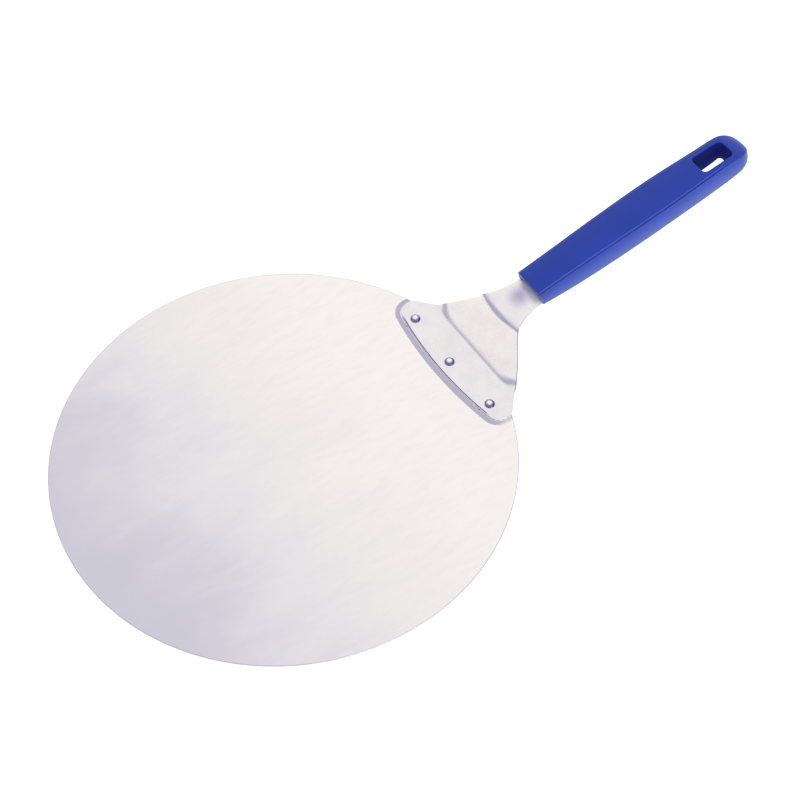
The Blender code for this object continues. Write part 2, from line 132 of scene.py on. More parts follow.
# the mouth is set back where the sheet goes in, and overhangs it above
MOUTH_SET_BACK = 0.7 * MM
MOUTH_LEAN = 0.22
MOUTH_BLEND_LENGTH = 14 * MM


# ================================================================ user's settings

def colour_property(name, description, default):
    return FloatVectorProperty(
        name=name, description=description, default=default, subtype="COLOR", min=0.0, max=1.0
    )


def length_property(name, description, default):
    return FloatProperty(
        name=name, description=description, default=default, min=0.0, unit="LENGTH", precision=5
    )


def share_property(name, description, default):
    return FloatProperty(
        name=name, description=description, default=default, min=0.0, max=1.0, subtype="FACTOR"
    )


class PeelBladeSettings(bpy.types.PropertyGroup):
    """Sizes and finish of the round blade."""

    diameter: length_property("Diameter", "Across the disc", BLADE_HIGH.x - BLADE_LOW.x)
    thickness: length_property("Thickness", "Thickness of the disc", BLADE_HIGH.z - BLADE_LOW.z)
    rim_easing: length_property("Rim easing", "Radius that softens the disc's edges", 0.25 * MM)
    # steel, middle and front: a painted shade that darkens the face from the bracket towards its front
    steel: colour_property("Steel", "Colour of the face by the bracket", (0.95, 0.91, 0.86))
    middle: colour_property("Middle", "Colour of the face in the middle", (0.86, 0.825, 0.81))
    front: colour_property("Front", "Colour of the dulled front of the face", (0.63, 0.61, 0.69))
    # band: colour of the painted shadow by the flange and of the painted shade line along the rim
    band: colour_property("Band", "Colour of the dulled band by the flange", (0.40, 0.38, 0.54))
    shadow_depth: share_property("Band depth", "Strength of the dulled band", 0.85)
    rim_shade_depth: share_property("Rim depth", "Strength of the dull line along the rim", 0.6)
    roughness: share_property("Roughness", "Softness of the face's reflections", 0.33)
    brushing: share_property("Brushing", "Strength of the brush lines", 0.10)


class PeelBracketSettings(bpy.types.PropertyGroup):
    """Finish of the pressed bracket."""

    edge_easing: length_property("Edge easing", "Radius along the sheet's upper edges", 0.40 * MM)
    under_easing: length_property("Under easing", "Radius along the sheet's lower edges", 0.10 * MM)
    steel: colour_property("Steel", "Colour of the satin sheet", (0.86, 0.83, 0.82))
    # painted shade on the bends and on a spot on the neck
    painted_shade: colour_property("Dull", "Colour of the dulled bends", (0.40, 0.37, 0.55))
    # near-white so that the flange's cut edge shows as a painted highlight line
    cut: colour_property("Cut", "Colour of the flange's bare cut edge", (0.96, 0.95, 0.96))
    # painted shade on the rolled corner, in a line inside the front edge and on the cut sides
    rolled: colour_property("Rolled", "Colour of the cut edge's rolled corner", (0.07, 0.055, 0.22))
    roughness: share_property("Roughness", "Softness of the sheet's reflections", 0.26)


class PeelRivetSettings(bpy.types.PropertyGroup):
    """Sizes and finish of the rivets."""

    head_radius: length_property("Head radius", "Radius of a domed head", 3.4 * MM)
    head_height: length_property("Head height", "Height of a domed head", 1.5 * MM)
    steel: colour_property("Steel", "Colour of the polished heads", (0.95, 0.95, 1.0))
    # painted shade round the rim of each head
    rim: colour_property("Rim", "Colour of the dulled rim of the heads", (0.16, 0.15, 0.36))
    roughness: share_property("Roughness", "Softness of the heads' reflections", 0.14)


class PeelHandleSettings(bpy.types.PropertyGroup):
    """Sizes and finish of the moulded handle."""

    crease_width: length_property("Crease width", "Width of the groove along each edge", 0.9 * MM)
    crease_depth: length_property("Crease depth", "Depth of the groove along each edge", 0.55 * MM)
    mouth_easing: length_property("Mouth easing", "Radius round the handle's mouth", 0.4 * MM)
    hole_easing: length_property("Hole easing", "Radius round the hanging hole's top", 1.6 * MM)
    under_easing: length_property("Under easing", "Radius round the hole's underside", 0.6 * MM)
    plastic: colour_property("Plastic", "Colour of the moulded plastic", (0.004, 0.030, 0.30))
    # painted highlight along the bead at each edge
    bead_highlight: colour_property("Bead", "Colour of the worn bead along each edge", (0.035, 0.085, 0.46))
    # painted light that makes the lower sides paler
    flank_light: colour_property("Flank", "Colour of the handle's paler lower sides", (0.045, 0.085, 0.35))
    # painted shade in the grooves
    groove: colour_property("Groove", "Colour of the grooves along the edges", (0.002, 0.006, 0.12))
    # painted shade on the hanging hole's walls
    recess_shade: colour_property("Recess", "Colour of the hanging hole's walls", (0.006, 0.014, 0.18))
    roughness: share_property("Roughness", "Softness of the plastic's reflections", 0.36)
    grain: share_property("Grain", "Strength of the moulded grain", 0.12)


class PeelStageSettings(bpy.types.PropertyGroup):
    """Floor, lights and camera."""

    floor: colour_property("Floor", "Colour of the plain floor", (0.95, 0.95, 0.95))
    floor_glow: share_property("Floor glow", "Brightness of the card's own soft light", 0.35)
    horizon: colour_property("Horizon", "Colour of the light from the sides", (1.0, 0.99, 0.98))
    zenith: colour_property("Zenith", "Colour of the light from above", (0.97, 0.97, 1.0))
    gap: colour_property("Gap", "Colour of the darker gaps between the soft panels", (0.10, 0.09, 0.20))
    sky_strength: FloatProperty(
        name="Sky strength", description="Brightness of the light from all round", default=1.00,
        min=0.0,
    )
    camera_turn: FloatProperty(
        name="Camera turn", description="Angle of the camera about the vertical",
        default=radians(-34.12), subtype="ANGLE",
    )
    camera_tilt: FloatProperty(
        name="Camera tilt", description="Angle of the camera above the floor",
        default=radians(54.35), subtype="ANGLE",
    )
    camera_distance: length_property("Camera distance", "From the camera to its aim", 1.0849)
    camera_aim: FloatVectorProperty(
        name="Camera aim", description="Point that the camera looks at",
        default=(0.08538, -0.00599, 0.0), subtype="XYZ", unit="LENGTH",
    )
    lens: FloatProperty(name="Lens", description="Focal length", default=74.52, unit="CAMERA")


# ================================================================ mesh tools

def spread(start, end, count):
    """count + 1 even steps, both ends included."""
    return [start + (end - start) * i / count for i in range(count + 1)]


def bridge(bm, lower, upper):
    """Quads between two closed rings of as many points."""
    for i, vert in enumerate(lower):
        j = (i + 1) % len(lower)
        bm.faces.new((vert, lower[j], upper[j], upper[i]))


def ring_of(bm, points):
    return [bm.verts.new(point) for point in points]


def loft(loops, sheet=False):
    """A closed tube through loops; a sheet's curved ends are a strip of quads."""
    bm = bmesh.new()
    rings = [ring_of(bm, loop) for loop in loops]
    for lower, upper in zip(rings, rings[1:]):
        bridge(bm, lower, upper)
    count = len(rings[0])
    for ring in (rings[0][::-1], rings[-1]):
        if sheet:
            for i in range(count // 2 - 1):
                bm.faces.new((ring[i], ring[i + 1], ring[count - 2 - i], ring[count - 1 - i]))
        else:
            bm.faces.new(ring)
    return bm


def circle(centre, radius, height, sides):
    points = []
    for i in range(sides):
        angle = 2 * pi * i / sides
        points.append(centre + Vector((radius * cos(angle), radius * sin(angle), height)))
    return points


def turned(profile, centre, sides):
    """A solid turned about the vertical through centre, from (radius, height) points."""
    return loft([circle(centre, radius, height, sides) for radius, height in profile])


def object_from(name, bm, sharp_angle=radians(35)):
    """An object from a bmesh, smooth but for its sharp edges."""
    bmesh.ops.recalc_face_normals(bm, faces=bm.faces)
    mesh = bpy.data.meshes.new(name)
    bm.to_mesh(mesh)
    bm.free()
    made = bpy.data.objects.new(name, mesh)
    bpy.context.collection.objects.link(made)
    mesh.shade_smooth()
    mesh.set_sharp_from_angle(angle=sharp_angle)
    return made


def carve(target, cutters):
    """Subtract each cutter from target for good, and remove the cutters."""
    for cutter in cutters:
        boolean = target.modifiers.new("carve", "BOOLEAN")
        boolean.operation = "DIFFERENCE"
        boolean.solver = "EXACT"
        boolean.object = cutter
    bpy.context.view_layer.update()
    evaluated = target.evaluated_get(bpy.context.evaluated_depsgraph_get())
    carved = bpy.data.meshes.new_from_object(evaluated)
    target.modifiers.clear()
    plain = target.data
    target.data = carved
    carved.name = target.name
    bpy.data.meshes.remove(plain)
    for cutter in cutters:
        bpy.data.objects.remove(cutter, do_unlink=True)


def finish_piece(piece, slot, material, *nodes):
    """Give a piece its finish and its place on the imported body."""
    piece.data.materials.clear()
    piece.data.materials.append(material)
    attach(piece, "root")
    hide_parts(*nodes)


def between(stations, place):
    """Values at a place, on smooth curves through a list of (place, values...)."""
    last = len(stations) - 1
    place = max(stations[0][0], min(stations[last][0], place))
    index = 0
    while index < last - 1 and place > stations[index + 1][0]:
        index += 1
    before = stations[max(index - 1, 0)]
    lower = stations[index]
    upper = stations[index + 1]
    after = stations[min(index + 2, last)]
    span = upper[0] - lower[0]
    t = (place - lower[0]) / span
    values = []
    for previous, low, high, following in zip(before[1:], lower[1:], upper[1:], after[1:]):
        slope_low = span * (high - previous) / (upper[0] - before[0])
        slope_high = span * (following - low) / (after[0] - lower[0])
        values.append(
            (2 * t - 3) * t * t * (low - high) + low
            + t * (t - 1) * ((t - 1) * slope_low + t * slope_high)
        )
    return values


# ================================================================ the bracket's centre line

BLADE_TOP = BLADE_HIGH.z
BLADE_RADIUS = (BLADE_HIGH.x - BLADE_LOW.x) / 2
FLANGE_TOP = BLADE_TOP + TOUCH_GAP + SHEET_THICKNESS
LOWER_BEND = Vector((BLADE_RADIUS + BEND_PAST_RIM, 0, FLANGE_TOP))
UPPER_BEND = LOWER_BEND + Vector((RAMP_RISE / tan(RAMP_ANGLE), 0, RAMP_RISE))
NECK_BEND = UPPER_BEND + NECK_LENGTH * Vector((cos(NECK_ANGLE), 0, sin(NECK_ANGLE)))
TANG_DIRECTION = Vector((cos(HANDLE_ANGLE), 0, sin(HANDLE_ANGLE)))
TANG_NORMAL = Vector((-sin(HANDLE_ANGLE), 0, cos(HANDLE_ANGLE)))
TANG_END = NECK_BEND + (NECK_TO_MOUTH + TANG_LENGTH) * TANG_DIRECTION
FLANGE_START = LOWER_BEND - Vector((FLANGE_LENGTH, 0, 0))
CORNERS = (FLANGE_START, LOWER_BEND, UPPER_BEND, NECK_BEND, TANG_END)


def centre_line():
    """Straight runs and bends of the sheet's top, as (start, length, direction, turn)."""
    pieces = []
    here = CORNERS[0]
    for corner, following, radius in zip(CORNERS[1:], CORNERS[2:], BEND_RADII):
        incoming = (corner - here).normalized()
        outgoing = (following - corner).normalized()
        turn = -incoming.xz.angle_signed(outgoing.xz)
        trim = radius * tan(abs(turn) / 2)
        pieces.append((here, (corner - here).length - trim, incoming, 0.0))
        pieces.append((corner - trim * incoming, radius * abs(turn), incoming, turn))
        here = corner + trim * outgoing
    pieces.append((here, (TANG_END - here).length, TANG_DIRECTION, 0.0))
    return pieces


CENTRE_LINE = centre_line()
RUN_LENGTHS = [run[1] for run in CENTRE_LINE]
FLANGE_END = FLANGE_START.x + RUN_LENGTHS[0] - BEND_BOW
LOWER_BEND_AT = RUN_LENGTHS[0] + RUN_LENGTHS[1] / 2
UPPER_BEND_AT = sum(RUN_LENGTHS[:3]) + RUN_LENGTHS[3] / 2
TANG_END_AT = sum(RUN_LENGTHS)
MOUTH_AT = TANG_END_AT - TANG_LENGTH
SHOULDER_AT = MOUTH_AT + MOUTH_SET_BACK - TOUCH_GAP


def on_centre_line(station):
    """Point and direction of the sheet's top at a distance along its centre line."""
    for start, length, direction, turn in CENTRE_LINE:
        if station <= length or start is CENTRE_LINE[-1][0]:
            break
        station -= length
    if turn == 0.0 or station < 0:
        return start + station * direction, direction
    radius = length / abs(turn)
    angle = turn * station / length
    up = Vector((-direction.z, 0, direction.x))
    swing = sin(abs(angle)) * direction + (1 if turn > 0 else -1) * (1 - cos(angle)) * up
    return start + radius * swing, cos(angle) * direction + sin(angle) * up


def flange_corner_centre():
    """Centre of the round that meets the front edge and the slanting side edge."""
    slant = sqrt(1 + FLANGE_TAPER ** 2)
    side = HALF_WIDTH_AT_BEND + FLANGE_TAPER * LOWER_BEND_AT - FLANGE_CORNER_RADIUS * slant
    reach = FRONT_EDGE_RADIUS - FLANGE_CORNER_RADIUS
    square = 1 + FLANGE_TAPER ** 2
    linear = -2 * (FRONT_EDGE_RADIUS + FLANGE_TAPER * side)
    constant = FRONT_EDGE_RADIUS ** 2 + side ** 2 - reach ** 2
    station = (-linear - sqrt(linear * linear - 4 * square * constant)) / (2 * square)
    return station, side - FLANGE_TAPER * station


CORNER_STATION, CORNER_HALF_WIDTH = flange_corner_centre()
SIDE_SLOPE = atan(FLANGE_TAPER)
CORNER_END_AT = CORNER_STATION + FLANGE_CORNER_RADIUS * sin(SIDE_SLOPE)
FRONT_ANGLE = atan(CORNER_HALF_WIDTH / (FRONT_EDGE_RADIUS - CORNER_STATION))
WAIST_SWEEP = atan(RAMP_TAPER)
WAIST_WIDTH = NECK_HALF_WIDTH + WAIST_RADIUS * (1 - cos(WAIST_SWEEP))
WAIST_START_AT = LOWER_BEND_AT + (HALF_WIDTH_AT_BEND - WAIST_WIDTH) / RAMP_TAPER
WAIST_END_AT = WAIST_START_AT + WAIST_RADIUS * sin(WAIST_SWEEP)
RAMP_ARCH_AT = LOWER_BEND_AT + RAMP_ARCH_SHARE * (UPPER_BEND_AT - LOWER_BEND_AT)
ARCH_STATIONS = (
    (LOWER_BEND_AT, *LOWER_BEND_ARCH),
    (RAMP_ARCH_AT, *RAMP_ARCH),
    (UPPER_BEND_AT, *UPPER_BEND_ARCH),
    (MOUTH_AT, *NECK_ARCH),
)


def front_edge(across):
    """Station of the flange's curved front edge at a distance across."""
    return FRONT_EDGE_RADIUS - sqrt(FRONT_EDGE_RADIUS ** 2 - across ** 2)


def half_width(station):
    """Half width of the flat sheet at a distance along it."""
    if station < CORNER_END_AT:
        across = min(abs(station - CORNER_STATION), FLANGE_CORNER_RADIUS)
        return CORNER_HALF_WIDTH + sqrt(FLANGE_CORNER_RADIUS ** 2 - across ** 2)
    if station < LOWER_BEND_AT:
        return HALF_WIDTH_AT_BEND + FLANGE_TAPER * (LOWER_BEND_AT - station)
    if station < WAIST_START_AT:
        return HALF_WIDTH_AT_BEND - RAMP_TAPER * (station - LOWER_BEND_AT)
    left = max(0.0, WAIST_END_AT - station)
    return NECK_HALF_WIDTH + WAIST_RADIUS - sqrt(WAIST_RADIUS ** 2 - left ** 2)


def bend_bow(station, share):
    """How far the bends lie nearer the disc than their ends do, at a share of the half width."""
    fade = max(0.0, min(1.0, (MOUTH_AT - station) / (MOUTH_AT - UPPER_BEND_AT)))
    return BEND_BOW * (1 - share ** BOW_FLATNESS) * fade * fade * (3 - 2 * fade)


def sheet_point(station, across, depth=0.0):
    """Point at a depth below the sheet's top, at a station and a distance across."""
    share = abs(across) / half_width(station)
    bow = bend_bow(station, share)
    point, direction = on_centre_line(station + bow)
    up = Vector((-direction.z, 0, direction.x))
    edge_drop, flatness = between(ARCH_STATIONS, station)
    drop = edge_drop * share ** flatness
    slope = flatness * drop / across if across else 0.0
    normal = (up + slope * Vector((0, 1, 0))).normalized()
    return point + Vector((-bow, across, 0)) - drop * up - depth * normal


def sheet_solid(rows, columns, top_depth, bottom_depth):
    """A closed sheet through rows of (station at the edge, station in the middle, half width)."""
    loops = []
    for edge, middle, width in rows:
        places = []
        for share in spread(-1.0, 1.0, columns):
            curve = front_edge(share * width) / front_edge(width)
            places.append((middle + (edge - middle) * curve, share * width))
        loop = [sheet_point(station, across, top_depth) for station, across in places]
        loop += [sheet_point(station, across, bottom_depth) for station, across in reversed(places)]
        loops.append(loop)
    return loft(loops, sheet=True)


# mesh rows along the bracket, and columns across it
CORNER_ROWS = 14
FLANGE_ROWS = 8
LOWER_BEND_ROWS = 16
RAMP_ROWS = 22
UPPER_BEND_ROWS = 16
NECK_ROWS = 30
TANG_ROWS = 12
TANG_TIP_ROWS = 10
SHEET_COLUMNS = 48


def bracket_rows():
    """Rows from the flange's front to the tang's end."""
    angles = spread(FRONT_ANGLE, pi - SIDE_SLOPE, CORNER_ROWS)
    stations = [CORNER_STATION - FLANGE_CORNER_RADIUS * cos(angle) for angle in angles[:-1]]
    bend_start, bend_end = RUN_LENGTHS[0] - BEND_BOW, sum(RUN_LENGTHS[:2])
    ramp_end, neck_start = sum(RUN_LENGTHS[:3]) - BEND_BOW, sum(RUN_LENGTHS[:4])
    stations += spread(CORNER_END_AT, bend_start, FLANGE_ROWS)[:-1]
    flange_rows = len(stations)
    stations += spread(bend_start, bend_end, LOWER_BEND_ROWS)[:-1]
    stations += spread(bend_end, ramp_end, RAMP_ROWS)[:-1]
    stations += spread(ramp_end, neck_start, UPPER_BEND_ROWS)[:-1]
    stations += spread(neck_start, SHOULDER_AT - SHOULDER_DEPTH, NECK_ROWS)
    rows = [(station, station, half_width(station)) for station in stations]
    for i in range(flange_rows):
        rows[i] = (rows[i][0], bend_start * i / flange_rows, rows[i][2])
    for station in spread(SHOULDER_AT, TANG_END_AT - TANG_HALF_WIDTH, TANG_ROWS)[:-1]:
        rows.append((station, station, TANG_HALF_WIDTH))
    for angle in spread(0.0, pi / 2, TANG_TIP_ROWS)[:-1]:
        station = TANG_END_AT - TANG_HALF_WIDTH * (1 - sin(angle))
        rows.append((station, station, TANG_HALF_WIDTH * cos(angle)))
    return rows


# ================================================================ the handle's shape

MOUTH_POINT = on_centre_line(MOUTH_AT)[0]
HANDLE_ORIGIN = MOUTH_POINT + CREASE_ABOVE_NECK * TANG_NORMAL
# mesh columns round the right half of the handle's section, and rows along the handle
CROWN_COLUMNS = 7
LIP_COLUMNS = 3
SIDE_COLUMNS = 10
CORNER_COLUMNS = 8
GRIP_ROWS = 70
HOLE_ROWS = 26
TIP_ROWS = 18
HOLE_SURROUND_SHARE = 0.86
HOLE_SURROUND = 3.2 * MM
HOLE_MIDDLE = HANDLE_LENGTH - HOLE_END_MARGIN - HOLE_LENGTH / 2
MOUTH_MIDDLE = -5.7 * MM
MOUTH_HALF_HEIGHT = 7.3 * MM
CREASE_FADE_START = 12 * MM
CREASE_FADE_END = 34 * MM
LIP_END = 0.5
# the groove's section, as shares of its width out from the crease and of its depth down
GROOVE_SECTION = ((-0.15, 0.06), (0.02, 0.35), (0.12, 0.80), (0.30, 1.00), (0.50, 0.85))
GROOVE_OUTER_END = 0.8
GROOVE_OUTER_DROP = 0.35
SIDE_DROP = 0.10 * MM
SIDE_FULLNESS = 0.4
# painted highlight (1) on the bead and painted shade (-1) in the groove, by the column counted from the
# lip's end
CREASE_TONES = ((-1, 0.6), (0, 1.0), (1, 0.6), (2, -0.3), (3, -1.0), (4, -1.0), (5, -0.8))
GROOVE_COLUMNS = len(GROOVE_SECTION) + 1
MOUTH_STEPS = 4
# rings from the loft in to the hole's easing, rings of the easing, and rings down its wall
HOLE_SURROUND_SHARES = (0.3, 0.6, 0.85)
HOLE_EASING_STEPS = 6
HOLE_WALL_SHARES = (0.25, 0.5, 0.75)
# how deep in the hole each of the easing's last rings counts as, for the painted shade in the hole
HOLE_TONES = (0.05, 0.15, 0.35, 0.6, 0.85, 1.0)


def handle_point(along, across, up):
    """Point in the handle's own frame: from the mouth, across, and above the creases."""
    bow = HANDLE_BOW * sin(pi * along / HANDLE_LENGTH)
    middle = HANDLE_ORIGIN + along * TANG_DIRECTION + (up + bow) * TANG_NORMAL
    return middle + Vector((0, across, 0))


def handle_sizes(along):
    """Crease half width, widest half width, its depth and the corner radius at a station."""
    return between(HANDLE_STATIONS, along / HANDLE_LENGTH)


def rounded(left, length):
    """Share of the full size at a distance from a round end of that length."""
    return sqrt(max(0.0, 1 - max(0.0, 1 - left / length) ** 2))


def end_shrink(along):
    """How much the round end narrows and flattens the section at a station."""
    left = HANDLE_TIP - along
    return rounded(left, END_ROUND_LENGTH), rounded(left, END_DROP_LENGTH)


def eased(value, start, end):
    """0 before start, 1 after end, smooth between."""
    t = max(0.0, min(1.0, (value - start) / (end - start)))
    return t * t * (3 - 2 * t)


def crown_height(along, across):
    """Height of the top face over the creases."""
    narrow, flat = end_shrink(along)
    crease = handle_sizes(along)[0]
    up = CROWN * (1 - (across / (narrow * crease)) ** 2)
    return -END_MIDDLE_DEPTH + (up + END_MIDDLE_DEPTH) * flat


def belly_height(along, across):
    """Height of the bottom face, below the creases."""
    narrow, flat = end_shrink(along)
    crease, widest, depth, corner = handle_sizes(along)
    share = across / (narrow * (widest - corner))
    up = -depth - corner - BELLY * (1 - share ** 2)
    return -END_MIDDLE_DEPTH + (up + END_MIDDLE_DEPTH) * flat


def half_section(along, settings):
    """Right half of the handle's section, from the top's middle down to the bottom's middle."""
    crease, widest, depth, corner = handle_sizes(along)
    fade = eased(HANDLE_TIP - along, CREASE_FADE_START, CREASE_FADE_END)
    groove = settings.crease_depth * fade
    width = settings.crease_width
    points = []
    for share in spread(0.0, HOLE_SURROUND_SHARE, CROWN_COLUMNS)[:-1]:
        points.append((crease * share, CROWN * (1 - share ** 2)))
    lip = 1 - LIP_END * width / crease
    for share in spread(HOLE_SURROUND_SHARE, lip, LIP_COLUMNS):
        points.append((crease * share, CROWN * (1 - share ** 2)))
    points += [(crease + out * width, -down * groove) for out, down in GROOVE_SECTION]
    side_start = crease + GROOVE_OUTER_END * width
    side_drop = GROOVE_OUTER_DROP * groove + SIDE_DROP
    points.append((side_start, -side_drop))
    for share in spread(0.0, 1.0, SIDE_COLUMNS)[1:-1]:
        bow = (1 - SIDE_FULLNESS) * share + SIDE_FULLNESS * sin(pi / 2 * share)
        across = side_start + (widest - side_start) * bow
        points.append((across, -side_drop - (depth - side_drop) * share))
    for angle in spread(0.0, pi / 2, CORNER_COLUMNS)[:-1]:
        points.append((widest - corner * (1 - cos(angle)), -depth - corner * sin(angle)))
    for share in spread(1.0, 0.0, CROWN_COLUMNS):
        points.append(((widest - corner) * share, -depth - corner - BELLY * (1 - share ** 2)))
    return points


def handle_loop(along, settings, inset=0.0):
    """Closed section of the handle, pulled in evenly by inset."""
    right = half_section(min(along, HANDLE_LENGTH), settings)
    left = [(-across, up) for across, up in reversed(right[1:-1])]
    narrow, flat = end_shrink(along)
    mouth = max(0.0, 1 - along / MOUTH_BLEND_LENGTH)
    loop = []
    for across, up in right + left:
        set_back = MOUTH_SET_BACK - MOUTH_LEAN * max(0.0, up + CREASE_ABOVE_NECK)
        across *= narrow
        up = -END_MIDDLE_DEPTH + (up + END_MIDDLE_DEPTH) * flat
        if inset:
            widest = handle_sizes(along)[1]
            across *= 1 - inset / widest
            up = MOUTH_MIDDLE + (up - MOUTH_MIDDLE) * (1 - inset / MOUTH_HALF_HEIGHT)
        loop.append(handle_point(along + set_back * mouth, across, up))
    return loop


def slot_outline(middle, length, width, corner, long_steps, short_steps):
    """Rounded rectangle as (along, across), starting in the middle of its first corner's round.

    Its four parts run along, across, back and across, each from one corner's middle to the next.
    """
    half_arc = corner * pi / 4
    points = []
    for part in range(4):
        is_long = part in (0, 2)
        straight = (length if is_long else width) - 2 * corner
        steps = long_steps if is_long else short_steps
        total = straight + 2 * half_arc
        for i in range(steps):
            run = total * i / steps
            if run < half_arc:
                angle = run / corner
                forward = -straight / 2 - corner * sin(pi / 4 - angle)
                outward = corner * cos(pi / 4 - angle)
            elif run < half_arc + straight:
                forward = -straight / 2 + run - half_arc
                outward = corner
            else:
                angle = (run - half_arc - straight) / corner
                forward = straight / 2 + corner * sin(angle)
                outward = corner * cos(angle)
            outward += (width if is_long else length) / 2 - corner
            turn = part * pi / 2
            along = forward * cos(turn) + outward * sin(turn)
            across = forward * sin(turn) - outward * cos(turn)
            points.append((middle + along, across))
    return points


def mark_crease_and_sides(ring, along, tone, side):
    """Set how much painted highlight on the bead, painted shade in the groove and painted light on the pale
    side each point of a section has.
    """
    fade = eased(HANDLE_TIP - along, CREASE_FADE_START, CREASE_FADE_END)
    crease = CROWN_COLUMNS + LIP_COLUMNS
    for i, value in CREASE_TONES:
        ring[crease + i][tone] = value * fade
        ring[-crease - i][tone] = value * fade
    for i in range(SIDE_COLUMNS + CORNER_COLUMNS):
        value = min(1.0, i / SIDE_COLUMNS)
        ring[crease + GROOVE_COLUMNS + i][side] = value
        ring[-crease - GROOVE_COLUMNS - i][side] = value


def close_end(bm, ring):
    """Fill a section with strips across, from the top's middle to the bottom's."""
    bottom = len(ring) // 2
    bm.faces.new((ring[0], ring[1], ring[-1]))
    for i in range(1, bottom - 1):
        bm.faces.new((ring[i], ring[i + 1], ring[-i - 1], ring[-i]))
    bm.faces.new((ring[bottom - 1], ring[bottom], ring[bottom + 1]))


def hole_frame(rings, middle_index, direction):
    """Ring of the loft's points round the hole, from the -Y corner at the mouth's side."""
    count = len(rings[0])
    across = 2 * CROWN_COLUMNS
    low = (middle_index - direction * CROWN_COLUMNS) % count
    high = (middle_index + direction * CROWN_COLUMNS) % count
    frame_ring = [ring[low] for ring in rings[:-1]]
    frame_ring += [rings[-1][(low + direction * i) % count] for i in range(across)]
    frame_ring += [ring[high] for ring in rings[:0:-1]]
    frame_ring += [rings[0][(high - direction * i) % count] for i in range(across)]
    return frame_ring


def hole_rings(bm, frame_ring, easing, width, corner, height, facing, depth):
    """Rings from the hole's frame in to its wall, over an eased edge."""
    def outline(widen):
        return slot_outline(
            HOLE_MIDDLE, HOLE_LENGTH + 2 * widen, width + 2 * widen,
            corner + widen, HOLE_ROWS, 2 * CROWN_COLUMNS,
        )

    made = [frame_ring]
    corners = []
    for vert in frame_ring:
        offset = vert.co - HANDLE_ORIGIN
        corners.append((offset.dot(TANG_DIRECTION), vert.co.y))
    for share in HOLE_SURROUND_SHARES:
        points = []
        for (along_a, across_a), (along_b, across_b) in zip(corners, outline(easing)):
            along = along_a + (along_b - along_a) * share
            across = across_a + (across_b - across_a) * share
            points.append(handle_point(along, across, height(along, across)))
        made.append(ring_of(bm, points))
    for angle in spread(0.0, pi / 2, HOLE_EASING_STEPS):
        sunk = facing * easing * (1 - cos(angle))
        places = outline(easing * (1 - sin(angle)))
        points = [handle_point(s, y, height(s, y) - sunk) for s, y in places]
        made.append(ring_of(bm, points))
    for ring, value in zip(made[-len(HOLE_TONES):], HOLE_TONES):
        for vert in ring:
            vert[depth] = value
    return made


def handle_mesh(settings):
    """The handle as one closed surface, with the hanging hole's rim and walls in its quads."""
    bm = bmesh.new()
    tone = bm.verts.layers.float.new("crease_highlight_and_shade")
    depth = bm.verts.layers.float.new("hole_depth")
    side = bm.verts.layers.float.new("flank_light_share")
    rings = []
    easing = settings.mouth_easing
    for angle in spread(0.0, pi / 2, MOUTH_STEPS)[:-1]:
        points = handle_loop(easing * (1 - cos(angle)), settings, easing * (1 - sin(angle)))
        rings.append(ring_of(bm, points))
        mark_crease_and_sides(rings[-1], 0.0, tone, side)
    first = HOLE_MIDDLE - HOLE_LENGTH / 2 - HOLE_SURROUND
    last = HOLE_MIDDLE + HOLE_LENGTH / 2 + HOLE_SURROUND
    stations = spread(easing, first, GRIP_ROWS)[:-1]
    hole_start = len(rings) + len(stations)
    hole_end = hole_start + HOLE_ROWS
    stations += spread(first, last, HOLE_ROWS)
    tip = HANDLE_TIP - last
    for angle in spread(0.0, pi / 2, TIP_ROWS)[1:-1]:
        stations.append(HANDLE_TIP - tip * (1 - sin(angle)))
    for along in stations:
        rings.append(ring_of(bm, handle_loop(along, settings)))
        mark_crease_and_sides(rings[-1], along, tone, side)

    count = len(rings[0])
    bottom = count // 2
    for row, (lower, upper) in enumerate(zip(rings, rings[1:])):
        for i in range(count):
            j = (i + 1) % count
            in_top = i < CROWN_COLUMNS or i >= count - CROWN_COLUMNS
            in_bottom = bottom - CROWN_COLUMNS <= i < bottom + CROWN_COLUMNS
            if hole_start <= row < hole_end and (in_top or in_bottom):
                continue
            bm.faces.new((lower[i], lower[j], upper[j], upper[i]))
    close_end(bm, rings[0])
    close_end(bm, rings[-1])

    round_hole = rings[hole_start:hole_end + 1]
    top = hole_rings(
        bm, hole_frame(round_hole, 0, 1), settings.hole_easing, HOLE_WIDTH,
        HOLE_CORNER_RADIUS, crown_height, 1, depth,
    )
    under = hole_rings(
        bm, hole_frame(round_hole, bottom, -1), settings.under_easing, HOLE_UNDER_WIDTH,
        HOLE_UNDER_CORNER_RADIUS, belly_height, -1, depth,
    )
    wall = []
    for share in HOLE_WALL_SHARES:
        points = [upper.co.lerp(lower.co, share) for upper, lower in zip(top[-1], under[-1])]
        wall.append(ring_of(bm, points))
        for vert in wall[-1]:
            vert[depth] = 1.0
    chain = top + wall + under[::-1]
    for lower, upper in zip(chain, chain[1:]):
        bridge(bm, lower, upper)
    return bm


# ================================================================ finishes

# the blade's face, along the handle's direction: where its painted shade turns from bright to middle, and
# from middle to the darker, cooler front, and how far broad and small mottling shift that
BRIGHT_TO_MIDDLE = (85 * MM, -30 * MM)
MIDDLE_TO_FRONT = (0 * MM, -150 * MM)
BROAD_DRIFT = 85 * MM
CLOUD_DRIFT = 60 * MM
STREAK_DEPTH = 0.10
# painted shade line along the rim: where it starts and where it is full
RIM_LINE = 0.7 * MM
RIM_LINE_FULL = 0.2 * MM

# painted shadow: a band on the blade along the flange's front edge, outside a bright line left unpainted
BAND_WIDTH = 4.0 * MM
BAND_SOFTNESS = 0.35 * MM
BRIGHT_LINE = 0.6 * MM
BAND_FADE_START = -57 * MM
BAND_FADE_END = -62 * MM
FRONT_ARC_MIDDLE = FLANGE_START.x + FRONT_EDGE_RADIUS

